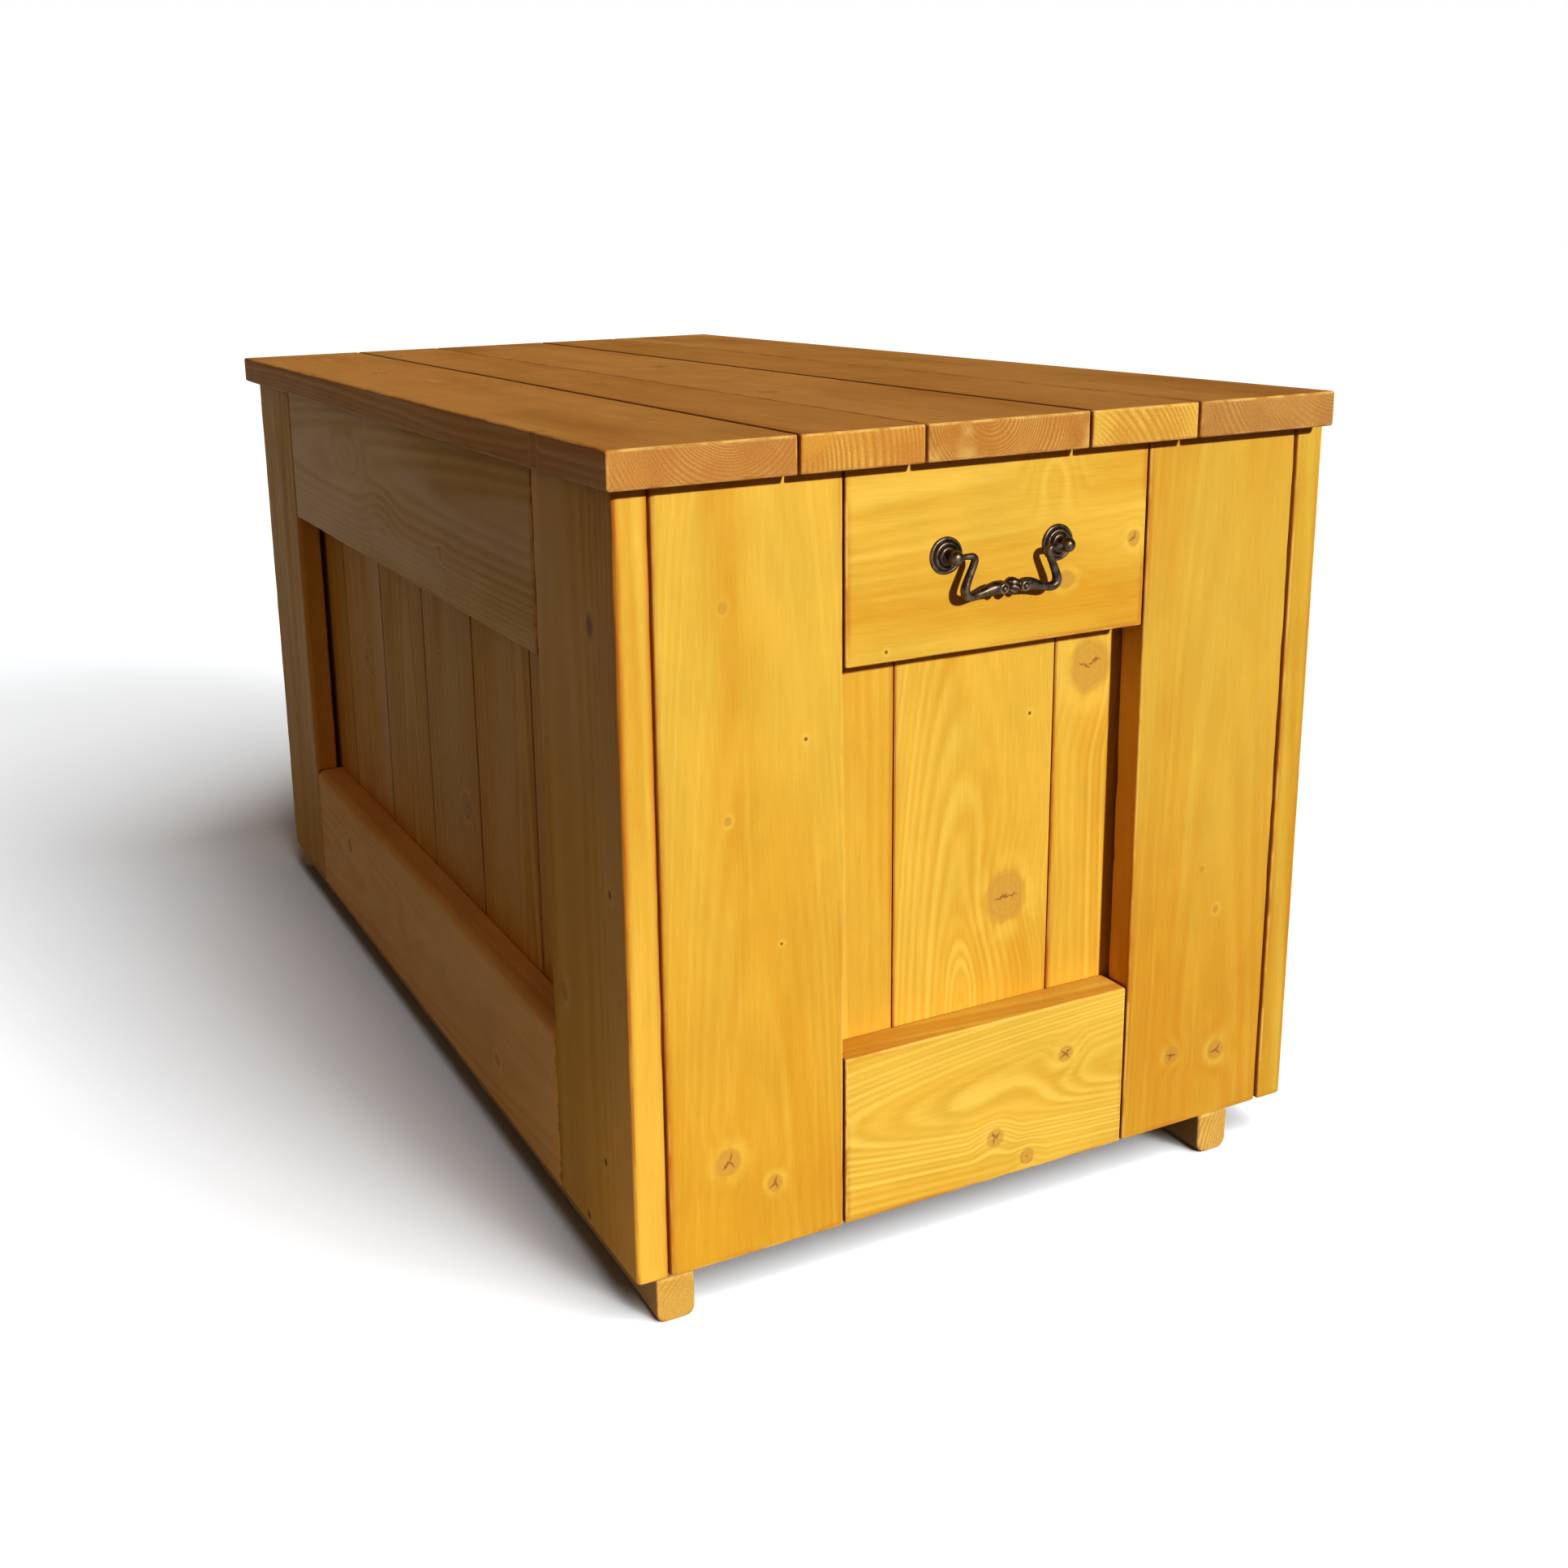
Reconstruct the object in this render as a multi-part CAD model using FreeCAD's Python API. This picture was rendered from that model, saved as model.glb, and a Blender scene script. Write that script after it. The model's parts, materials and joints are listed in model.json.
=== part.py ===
import FreeCAD, Part
import math
import os

Vector = FreeCAD.Vector

# Carcass, in millimetres: length along X, depth along Y, height along Z
carcass_length = 1040.0
carcass_depth = 600.0
frame_height = 570.0

# Frame members: rails stand behind the stiles by a step, so the lining bears on the rails alone
stile_thickness = 24.4
rail_back_step = 6.0
front_stile_width = 147.0
end_stile_width = 142.0
top_rail_height = 140.0
bottom_rail_height = 134.5
corner_gap = 2.4
front_joint_gap = 1.2
end_joint_gap = 2.0
frame_ease = 1.6

# Dowels across the butt joints of the frames
dowel_radius = 4.0
dowel_length = 60.0
dowel_end_room = 1.0
dowel_inset = 32.0

# Tongued and grooved lining boards; a datum is the place of one joint, from the middle of its wall
lining_thickness = 18.0
lining_pitch = 143.5
front_lining_datum = -14.8
end_lining_datum = -69.8
lining_gap = 1.0
lining_chamfer = 1.2
tongue_thickness = 6.0
tongue_length = 6.0
groove_room = 0.3
narrowest_strip = 20.0
lining_top_drop = 2.0

# Bottom boards and skids
bottom_thickness = 18.0
bottom_board_width = 140.0
bottom_gap = 1.5
skid_width = 30.0
skid_height = 35.0
front_skid_inset = 14.6
back_skid_inset = 57.5
skid_ease = 5.0
bottom_screw_length = 38.0
bottom_screw_inset = 36.0

# Lid planks, laid from the front edge, wide and narrow in turn
lid_thickness = 26.5
lid_end_overhang = 19.0
lid_front_overhang = 11.2
lid_rear_setback = 9.0
wide_plank = 135.2
narrow_plank = 95.9
plank_gap = 2.4
narrowest_rear_plank = 60.0
plank_ease = 2.2

# Lid battens
batten_width = 60.0
batten_thickness = 20.0
batten_end_inset = 41.6
batten_end_clearance = 14.0
batten_ease = 2.0
batten_screw_bite = 18.0

# Butt hinges on the step behind the lid
hinge_rail_inset = 8.8
hinge_length = 76.0
leaf_thickness = 1.6
knuckle_radius = 3.6
knuckle_count = 5
knuckle_side_gap = 0.4
knuckle_clearance = 0.4
hinge_pin_radius = 1.8
hinge_pin_head_radius = 2.8
hinge_pin_head_height = 1.2
carcass_leaf_width = 22.0
lid_leaf_height = 21.0
hinge_screw_spacing = 26.0
hinge_screw_length = 16.0

# Countersunk wood screws
screw_radius = 1.6
screw_head_radius = 3.2
screw_slot_width = 0.8
screw_slot_depth = 0.8
post_screw_length = 40.0
post_screw_rows = 4
post_screw_stagger = 36.0
post_screw_end_distance = 90.0

# Handles at the middle of the end frames' top rails
handle_drop = 68.7
post_spacing = 96.0
rosette_radius = 13.5
rosette_thickness = 4.6
post_foot_radius = 5.0
post_foot_height = 1.6
post_neck_radius = 3.6
post_spigot_radius = 3.0
post_ball_radius = 5.6
pivot_reach = 12.0
bail_pin_radius = 2.0
bail_pin_end = 51.0
bail_shoulder = 41.0
bail_rod_radius = 2.7
bail_neck_half_span = 33.0
bail_corner_half_span = 40.5
bail_drop = 28.2
bail_bar_half_span = 25.0
bail_crown_half_span = 14.0
bail_crown_drop = 24.6
bail_neck_bend = 4.0
bail_corner_bend = 5.5
bail_bar_bend = 14.0
leaf_half_height = 6.4
leaf_half_width = 3.8
scroll_radius = 3.5
scroll_offset = 6.4
handle_screw_radius = 2.0
handle_screw_head_radius = 4.0
handle_screw_head_height = 2.4
handle_screw_bite = 8.0
handle_screw_end_room = 1.0

# Fits
running_clearance = 0.05
screw_hole_clearance = 0.2

# Planes of the carcass; the origin is on the floor, in the middle of the whole chest
half_length = carcass_length / 2
overall_depth = carcass_depth + lid_front_overhang
front_face = lid_front_overhang - overall_depth / 2
back_face = overall_depth / 2
middle_y = (front_face + back_face) / 2
frame_bottom = skid_height
frame_top = skid_height + frame_height
bottom_top = frame_bottom + bottom_thickness
rail_thickness = stile_thickness + rail_back_step
lining_back = rail_thickness + lining_thickness
lid_top = frame_top + lid_thickness
lid_front = front_face - lid_front_overhang
lid_back = back_face - lid_rear_setback
lid_half_length = half_length + lid_end_overhang

# Each wall: the axis it runs along, the place of its outer face, the way inward, half its run
WALLS = {
    "front": ("x", front_face, 1, half_length),
    "back": ("x", back_face, -1, half_length),
    "left_end": ("y", -half_length, 1, carcass_depth / 2),
    "right_end": ("y", half_length, -1, carcass_depth / 2),
}
ENDS = ("left_end", "right_end")
UP = Vector(0, 0, 1)


def wall_point(wall, along, depth, z):
    """A point of a wall: its place along the wall, its depth behind the outer face, its height."""
    axis, face, inward, _ = WALLS[wall]
    across = face + inward * depth
    if axis == "x":
        return Vector(along, across, z)
    return Vector(across, middle_y + along, z)


def inward_of(wall):
    return wall_point(wall, 0, 1, 0) - wall_point(wall, 0, 0, 0)


def eased_box(low, high, ease):
    """A board between two opposite corners, with all its arrises rounded."""
    start = Vector(min(low.x, high.x), min(low.y, high.y), min(low.z, high.z))
    sides = [abs(high.x - low.x), abs(high.y - low.y), abs(high.z - low.z)]
    box = Part.makeBox(*sides, start)
    return box.makeFillet(min(ease, min(sides) / 4), box.Edges)


def rod(start, end, radius):
    return Part.makeCylinder(radius, (end - start).Length, start, end - start)


def turned(profile, base, direction):
    """A solid turned from (radius, height) points, standing on base along direction."""
    points = [Vector(radius, 0, height) for radius, height in profile]
    face = Part.Face(Part.makePolygon(points + points[:1]))
    solid = face.revolve(Vector(0, 0, 0), UP, 360)
    solid.Placement = FreeCAD.Placement(base, FreeCAD.Rotation(UP, direction))
    return solid


def screw_body(head_at, direction, length, grow):
    """A countersunk screw whose head is flush at head_at; grow makes the hole it sits in."""
    head = screw_head_radius + grow
    shank = screw_radius + grow
    profile = [(0, 0), (head, 0), (shank, head - shank), (shank, length + grow), (0, length + grow)]
    return turned(profile, head_at, direction)


def wood_screw(head_at, direction, length):
    body = screw_body(head_at, direction, length, 0)
    reach = 2 * screw_head_radius
    corner = Vector(-reach / 2, -screw_slot_width / 2, 0)
    slot = Part.makeBox(reach, screw_slot_width, screw_slot_depth, corner)
    slot.Placement = FreeCAD.Placement(head_at, FreeCAD.Rotation(UP, direction))
    return body.cut(slot)


def screw_hole(head_at, direction, length):
    return screw_body(head_at, direction, length, screw_hole_clearance)


nodes = {}
holes = {}


def add(name, *solids):
    nodes.setdefault(name, []).extend(solids)


def bore(name, *tools):
    holes.setdefault(name, []).extend(tools)


def add_screw(screws, bored, head_at, direction, length):
    """A screw in its group, and its hole in every piece that it passes through."""
    add(screws, wood_screw(head_at, direction, length))
    for name in bored:
        bore(name, screw_hole(head_at, direction, length))


# Frames: two stiles the full height, two rails between them, dowelled at each butt joint
rail_spans = {
    "top": (frame_top - top_rail_height, frame_top),
    "bottom": (frame_bottom, frame_bottom + bottom_rail_height),
}
for wall, (_, _, _, half_run) in WALLS.items():
    is_end = wall in ENDS
    outer = half_run - (stile_thickness + corner_gap if is_end else 0)
    inner = outer - (end_stile_width if is_end else front_stile_width)
    rail_end = inner - (end_joint_gap if is_end else front_joint_gap)
    first, second = ("front", "back") if is_end else ("left", "right")
    sides = ((f"{first}_stile", -1), (f"{second}_stile", 1))
    for stile, side in sides:
        low = wall_point(wall, side * outer, 0, frame_bottom)
        high = wall_point(wall, side * inner, stile_thickness, frame_top)
        add(f"{wall}_{stile}", eased_box(low, high, frame_ease))
    for rail, (low_z, high_z) in rail_spans.items():
        low = wall_point(wall, -rail_end, 0, low_z)
        high = wall_point(wall, rail_end, rail_thickness, high_z)
        add(f"{wall}_{rail}_rail", eased_box(low, high, frame_ease))
        for stile, side in sides:
            for z in (low_z + dowel_inset, high_z - dowel_inset):
                joint = (inner + rail_end) / 2
                reach = dowel_length / 2
                depth = stile_thickness / 2
                start = wall_point(wall, side * (joint - reach), depth, z)
                end = wall_point(wall, side * (joint + reach), depth, z)
                add(f"{wall}_frame_dowels", rod(start, end, dowel_radius))
                room = (end - start).normalize() * dowel_end_room
                hole = rod(start - room, end + room, dowel_radius + running_clearance)
                bore(f"{wall}_{stile}", hole)
                bore(f"{wall}_{rail}_rail", hole)

# Corner posts behind the stiles, screwed to the stile on each side
post_low = bottom_top
for end, x_side in (("left_end", -1), ("right_end", 1)):
    for wall, y_side in (("front", -1), ("back", 1)):
        stile_back_x = x_side * (half_length - stile_thickness)
        post_x = x_side * (half_length - lining_back)
        stile_back_y = middle_y + y_side * (carcass_depth / 2 - stile_thickness)
        post_y = middle_y + y_side * (carcass_depth / 2 - lining_back)
        low = Vector(stile_back_x, stile_back_y, post_low)
        high = Vector(post_x, post_y, frame_top - lining_top_drop)
        post = f"{wall}_{end.split('_')[0]}_corner_post"
        add(post, eased_box(low, high, frame_ease))
        long_stile = f"{wall}_{end.split('_')[0]}_stile"
        end_stile = f"{end}_{wall}_stile"
        span = frame_top - post_low - 2 * post_screw_end_distance - post_screw_stagger
        for row in range(post_screw_rows):
            z = post_low + post_screw_end_distance + span * row / (post_screw_rows - 1)
            centre_x = (stile_back_x + post_x) / 2
            centre_y = (stile_back_y + post_y) / 2
            head = Vector(centre_x, post_y, z)
            toward = Vector(0, y_side, 0)
            add_screw("corner_post_screws", (post, long_stile), head, toward, post_screw_length)
            head = Vector(post_x, centre_y, z + post_screw_stagger)
            toward = Vector(x_side, 0, 0)
            add_screw("corner_post_screws", (post, end_stile), head, toward, post_screw_length)


def lining_outline(low, high, first, last):
    """Plan of a lining board as (along, depth) points: groove on its low side, tongue on its high side."""
    face = rail_thickness
    back = lining_back
    chamfer = lining_chamfer
    left = low if first else low + lining_gap / 2
    right = high if last else high - lining_gap / 2
    middle = (face + back) / 2
    half_tongue = tongue_thickness / 2
    half_groove = half_tongue + groove_room
    groove_bottom = left + tongue_length + groove_room
    points = [(left, back - chamfer)]
    if not first:
        points += [(left, middle + half_groove), (groove_bottom, middle + half_groove)]
        points += [(groove_bottom, middle - half_groove), (left, middle - half_groove)]
    points += [(left, face + chamfer), (left + chamfer, face)]
    points += [(right - chamfer, face), (right, face + chamfer)]
    if not last:
        points += [(right, middle - half_tongue), (right + tongue_length, middle - half_tongue)]
        points += [(right + tongue_length, middle + half_tongue), (right, middle + half_tongue)]
    points += [(right, back - chamfer), (right - chamfer, back), (left + chamfer, back)]
    return points


# Lining boards behind each frame, ripped to fit between the corner posts
lining_rise = frame_top - lining_top_drop - bottom_top
for wall, (_, _, _, half_run) in WALLS.items():
    half_span = half_run - lining_back
    datum = end_lining_datum if wall in ENDS else front_lining_datum
    first_joint = math.ceil((narrowest_strip - half_span - datum) / lining_pitch)
    joints = [-half_span]
    place = datum + first_joint * lining_pitch
    while place < half_span - narrowest_strip:
        joints.append(place)
        place += lining_pitch
    joints.append(half_span)
    for number in range(len(joints) - 1):
        is_first = number == 0
        is_last = number == len(joints) - 2
        outline = lining_outline(joints[number], joints[number + 1], is_first, is_last)
        corners = [wall_point(wall, along, depth, bottom_top) for along, depth in outline]
        board = Part.Face(Part.makePolygon(corners + corners[:1])).extrude(UP * lining_rise)
        add(f"{wall}_lining_boards", board)

# Bottom boards from front to back, screwed down to the skids
floor_half_length = half_length - rail_thickness
floor_front = front_face + rail_thickness
floor_back = back_face - rail_thickness
bottom_count = round(2 * floor_half_length / bottom_board_width)
bottom_pitch = 2 * floor_half_length / bottom_count
skid_spans = {
    "front_skid": (front_face + front_skid_inset, front_face + front_skid_inset + skid_width),
    "back_skid": (back_face - back_skid_inset - skid_width, back_face - back_skid_inset),
}
for skid, (low_y, high_y) in skid_spans.items():
    low = Vector(-half_length, low_y, 0)
    high = Vector(half_length, high_y, skid_height)
    box = Part.makeBox(high.x - low.x, high.y - low.y, high.z - low.z, low)
    floor_arrises = [edge for edge in box.Edges if edge.BoundBox.ZMax < skid_height / 2]
    add(skid, box.makeFillet(skid_ease, floor_arrises))
for number in range(bottom_count):
    left = -floor_half_length + number * bottom_pitch
    low = Vector(left + bottom_gap / 2, floor_front, frame_bottom)
    high = Vector(left + bottom_pitch - bottom_gap / 2, floor_back, bottom_top)
    add("bottom_boards", eased_box(low, high, frame_ease))
    for skid, (low_y, high_y) in skid_spans.items():
        screw_y = (max(low_y, floor_front) + min(high_y, floor_back)) / 2
        for x in (left + bottom_screw_inset, left + bottom_pitch - bottom_screw_inset):
            head = Vector(x, screw_y, bottom_top)
            add_screw("bottom_board_screws", ("bottom_boards", skid), head, -UP, bottom_screw_length)

# Lid planks, with open joints
planks = []
plank_start = lid_front
while True:
    width = narrow_plank if len(planks) % 2 else wide_plank
    if plank_start + width + plank_gap + narrowest_rear_plank > lid_back:
        planks.append((plank_start, lid_back))
        break
    planks.append((plank_start, plank_start + width))
    plank_start += width + plank_gap
for number, (low_y, high_y) in enumerate(planks, 1):
    low = Vector(-lid_half_length, low_y, frame_top)
    high = Vector(lid_half_length, high_y, lid_top)
    add(f"lid_plank_{number}", eased_box(low, high, plank_ease))
rear_plank = f"lid_plank_{len(planks)}"

# Battens under the lid, clear of the lining, screwed up into every plank
batten_front = front_face + lining_back + batten_end_clearance
batten_back = back_face - lining_back - batten_end_clearance
batten_low = frame_top - batten_thickness
batten_offset = half_length - lining_back - batten_end_inset - batten_width / 2
batten_places = {"left_lid_batten": -batten_offset, "middle_lid_batten": 0, "right_lid_batten": batten_offset}
for batten, x in batten_places.items():
    low = Vector(x - batten_width / 2, batten_front, batten_low)
    high = Vector(x + batten_width / 2, batten_back, frame_top)
    add(batten, eased_box(low, high, batten_ease))
    for number, (low_y, high_y) in enumerate(planks, 1):
        overlap_low = max(low_y, batten_front)
        overlap_high = min(high_y, batten_back)
        quarter = (overlap_high - overlap_low) / 4
        for side, y in ((-1, overlap_low + quarter), (1, overlap_high - quarter)):
            head = Vector(x + side * batten_width / 4, y, batten_low)
            bored = (batten, f"lid_plank_{number}")
            add_screw("lid_batten_screws", bored, head, UP, batten_thickness + batten_screw_bite)

# Butt hinges: one leaf let into the back rail's top edge, the other on the lid's back edge
pin_y = lid_back + knuckle_radius + knuckle_clearance
pin_z = frame_top - leaf_thickness + knuckle_radius
knuckle_pitch = hinge_length / knuckle_count
back_rail_end = half_length - front_stile_width - front_joint_gap
hinge_offset = back_rail_end - hinge_rail_inset - hinge_length / 2


def knuckle(start_x, radius, extra):
    start = Vector(start_x + knuckle_side_gap / 2 - extra, pin_y, pin_z)
    end = Vector(start_x + knuckle_pitch - knuckle_side_gap / 2 + extra, pin_y, pin_z)
    return rod(start, end, radius)


def hinge_leaf(plate, start_x, own_parity):
    """A leaf with its own knuckles, notched round the other leaf's and bored for the pin."""
    own = []
    notches = []
    for number in range(knuckle_count):
        place = start_x + number * knuckle_pitch
        if number % 2 == own_parity:
            own.append(knuckle(place, knuckle_radius, 0))
        else:
            notches.append(knuckle(place, knuckle_radius + knuckle_clearance, knuckle_side_gap))
    start = Vector(start_x - hinge_length, pin_y, pin_z)
    end = Vector(start_x + 2 * hinge_length, pin_y, pin_z)
    pin_bore = rod(start, end, hinge_pin_radius + running_clearance)
    return plate.cut(notches).fuse(own).cut(pin_bore).removeSplitter()


for side, centre_x in (("left", -hinge_offset), ("right", hinge_offset)):
    start_x = centre_x - hinge_length / 2
    leaf_front = pin_y - carcass_leaf_width
    carcass_leaf = f"{side}_hinge_carcass_leaf"
    lid_leaf = f"{side}_hinge_lid_leaf"
    plate = Part.makeBox(hinge_length, carcass_leaf_width, leaf_thickness,
                         Vector(start_x, leaf_front, frame_top - leaf_thickness))
    add(carcass_leaf, hinge_leaf(plate, start_x, 0))
    plate = Part.makeBox(hinge_length, leaf_thickness, lid_leaf_height, Vector(start_x, lid_back, pin_z))
    add(lid_leaf, hinge_leaf(plate, start_x, 1))
    pin_start = Vector(start_x, pin_y, pin_z)
    pin_end = Vector(start_x + hinge_length, pin_y, pin_z)
    head = Vector(hinge_pin_head_height, 0, 0)
    pin = rod(pin_start - head, pin_end + head, hinge_pin_radius)
    pin = pin.fuse([rod(pin_start - head, pin_start, hinge_pin_head_radius),
                    rod(pin_end, pin_end + head, hinge_pin_head_radius)]).removeSplitter()
    add(f"{side}_hinge_pin", pin)
    mortise = Part.makeBox(hinge_length, back_face - leaf_front, leaf_thickness,
                           Vector(start_x, leaf_front, frame_top - leaf_thickness))
    groove_front = pin_y - knuckle_radius - knuckle_clearance
    groove_ends = 2 * hinge_pin_head_height
    knuckle_groove = Part.makeBox(hinge_length + 2 * groove_ends, back_face - groove_front,
                                  leaf_thickness + knuckle_clearance,
                                  Vector(start_x - groove_ends, groove_front,
                                         frame_top - leaf_thickness - knuckle_clearance))
    bore("back_top_rail", mortise, knuckle_groove)
    for step in (-1, 0, 1):
        x = centre_x + step * hinge_screw_spacing
        head_at = Vector(x, leaf_front + carcass_leaf_width / 3, frame_top)
        add_screw("carcass_hinge_screws", (carcass_leaf, "back_top_rail"), head_at, -UP, hinge_screw_length)
        head_at = Vector(x, lid_back + leaf_thickness, pin_z + lid_leaf_height * 2 / 3)
        add_screw("lid_hinge_screws", (lid_leaf, rear_plank), head_at, Vector(0, -1, 0), hinge_screw_length)

# Handles: stepped rosettes, turned posts with an eye, a bail that hangs in the eyes, screws from inside
handle_z = frame_top - handle_drop
rosette_steps = [
    (post_spigot_radius + running_clearance, 0.0),
    (rosette_radius, 0.0),
    (rosette_radius, 0.25 * rosette_thickness),
    (0.94 * rosette_radius, 0.45 * rosette_thickness),
    (0.80 * rosette_radius, 0.45 * rosette_thickness),
    (0.74 * rosette_radius, 0.72 * rosette_thickness),
    (0.58 * rosette_radius, 0.72 * rosette_thickness),
    (0.50 * rosette_radius, rosette_thickness),
    (post_spigot_radius + running_clearance, rosette_thickness),
]


def turned_post(base, outward):
    """A post: spigot through the rosette, flared foot, neck and ball, tapped from behind."""
    neck_foot = rosette_thickness + post_foot_height
    profile = [
        (0, 0),
        (post_spigot_radius, 0),
        (post_spigot_radius, rosette_thickness),
        (post_foot_radius, rosette_thickness),
        (post_neck_radius, neck_foot),
        (post_neck_radius, pivot_reach),
        (0, pivot_reach),
    ]
    ball = Part.makeSphere(post_ball_radius, base + outward * pivot_reach)
    stem = turned(profile, base, outward)
    eye_half = Vector(0, 2 * post_ball_radius, 0)
    eye_centre = base + outward * pivot_reach
    eye = rod(eye_centre - eye_half, eye_centre + eye_half, bail_pin_radius + running_clearance)
    tapped = rod(base, base + outward * handle_screw_bite, handle_screw_radius + running_clearance)
    return stem.fuse(ball).cut([eye, tapped]).removeSplitter()


def rounded_wire(points, radii):
    """Straight runs through the points, joined by tangent arcs of the given radii."""
    edges = []
    start = points[0]
    for before, corner, after, radius in zip(points, points[1:], points[2:], radii):
        way_in = (before - corner).normalize()
        way_out = (after - corner).normalize()
        half_angle = way_in.getAngle(way_out) / 2
        reach = radius / math.tan(half_angle)
        arc_start = corner + way_in * reach
        arc_end = corner + way_out * reach
        bisector = (way_in + way_out).normalize()
        arc_middle = corner + bisector * (radius / math.sin(half_angle) - radius)
        edges.append(Part.LineSegment(start, arc_start).toShape())
        edges.append(Part.Arc(arc_start, arc_middle, arc_end).toShape())
        start = arc_end
    edges.append(Part.LineSegment(start, points[-1]).toShape())
    return Part.Wire(edges)


def bail(pivot):
    """A swan-neck bail that hangs from two pins, with a leaf between two scrolls on its bar."""
    half = [
        (bail_shoulder, 0),
        (bail_neck_half_span, 0),
        (bail_corner_half_span, bail_drop),
        (bail_bar_half_span, bail_drop),
        (bail_crown_half_span, bail_crown_drop),
    ]
    radii = [bail_neck_bend, bail_corner_bend, bail_bar_bend, bail_bar_bend]
    line = half + [(-y, drop) for y, drop in reversed(half)]
    points = [pivot + Vector(0, y, -drop) for y, drop in line]
    path = rounded_wire(points, radii + radii[::-1])
    section = Part.Wire(Part.makeCircle(bail_rod_radius, points[0], Vector(0, 1, 0)))
    shape = path.makePipeShell([section], True, False)
    ornaments = []
    for side in (-1, 1):
        shoulder = pivot + Vector(0, side * bail_shoulder, 0)
        ornaments.append(rod(shoulder, pivot + Vector(0, side * bail_pin_end, 0), bail_pin_radius))
        scroll = pivot + Vector(0, side * scroll_offset, -bail_crown_drop)
        ornaments.append(Part.makeSphere(scroll_radius, scroll))
    leaf_centre = pivot - UP * bail_crown_drop
    lobe = UP * (leaf_half_height - leaf_half_width)
    ornaments.append(rod(leaf_centre - lobe, leaf_centre + lobe, leaf_half_width))
    ornaments.append(Part.makeSphere(leaf_half_width, leaf_centre + lobe))
    ornaments.append(Part.makeSphere(leaf_half_width, leaf_centre - lobe))
    return shape.fuse(ornaments).removeSplitter()


for wall in ENDS:
    outward = -inward_of(wall)
    side = wall.split("_")[0]
    for along in (-post_spacing / 2, post_spacing / 2):
        base = wall_point(wall, along, 0, handle_z)
        inside = wall_point(wall, along, lining_back, handle_z)
        add(f"{side}_handle_rosettes", turned(rosette_steps, base, outward))
        add(f"{side}_handle_posts", turned_post(base, outward))
        tip = base + outward * (handle_screw_bite - handle_screw_end_room)
        head_end = inside - outward * handle_screw_head_height
        shank = rod(inside, tip, handle_screw_radius)
        head = rod(head_end, inside, handle_screw_head_radius)
        add(f"{side}_handle_screws", shank.fuse(head).removeSplitter())
        clearance = rod(inside, base, handle_screw_radius + screw_hole_clearance)
        bore(f"{wall}_top_rail", clearance)
        bore(f"{wall}_lining_boards", clearance)
    add(f"{side}_bail", bail(wall_point(wall, 0, -pivot_reach, handle_z)))

os.makedirs("parts", exist_ok=True)
for name, solids in nodes.items():
    finished = []
    for solid in solids:
        near = [hole for hole in holes.get(name, []) if hole.BoundBox.intersect(solid.BoundBox)]
        shape = solid.cut(near) if near else solid
        finished.extend(shape.Solids)
    shape = finished[0] if len(finished) == 1 else Part.makeCompound(finished)
    shape.exportStep(f"parts/{name}.step")
    valid = all(solid.isValid() and solid.Volume > 0 for solid in finished)
    box = shape.BoundBox
    print(name, len(finished), round(shape.Volume / 1000, 2), "cm3", "valid" if valid else "INVALID",
          [round(value, 1) for value in (box.XMin, box.YMin, box.ZMin, box.XMax, box.YMax, box.ZMax)])
print(len(nodes), "nodes")
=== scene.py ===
import json
import math

import bmesh
import bpy
from mathutils import Matrix, Vector, noise

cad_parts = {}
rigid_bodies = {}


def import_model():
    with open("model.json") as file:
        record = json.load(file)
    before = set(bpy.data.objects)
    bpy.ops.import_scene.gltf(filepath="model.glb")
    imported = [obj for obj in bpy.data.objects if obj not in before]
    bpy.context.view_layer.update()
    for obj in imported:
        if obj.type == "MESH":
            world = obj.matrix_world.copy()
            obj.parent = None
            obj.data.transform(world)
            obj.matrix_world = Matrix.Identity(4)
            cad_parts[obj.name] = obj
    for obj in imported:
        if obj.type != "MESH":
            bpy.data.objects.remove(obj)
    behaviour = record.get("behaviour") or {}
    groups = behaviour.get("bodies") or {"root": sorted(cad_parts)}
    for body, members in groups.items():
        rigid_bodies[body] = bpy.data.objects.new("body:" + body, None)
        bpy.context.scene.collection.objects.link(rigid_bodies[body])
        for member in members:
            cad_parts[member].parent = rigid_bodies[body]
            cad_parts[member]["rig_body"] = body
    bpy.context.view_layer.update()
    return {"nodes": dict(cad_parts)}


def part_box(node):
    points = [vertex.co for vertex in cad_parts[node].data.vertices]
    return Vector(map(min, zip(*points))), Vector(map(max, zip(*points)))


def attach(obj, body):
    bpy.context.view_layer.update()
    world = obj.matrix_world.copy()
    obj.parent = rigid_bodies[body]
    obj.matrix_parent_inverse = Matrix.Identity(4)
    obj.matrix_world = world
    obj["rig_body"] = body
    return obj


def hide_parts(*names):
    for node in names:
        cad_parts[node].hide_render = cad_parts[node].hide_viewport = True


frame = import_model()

# Skids: two pine bearers that the chest stands on, nearly square in section and as long as the carcass.
# Their floor arrises are rounded over, and the bottom boards are screwed down into them.


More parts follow.
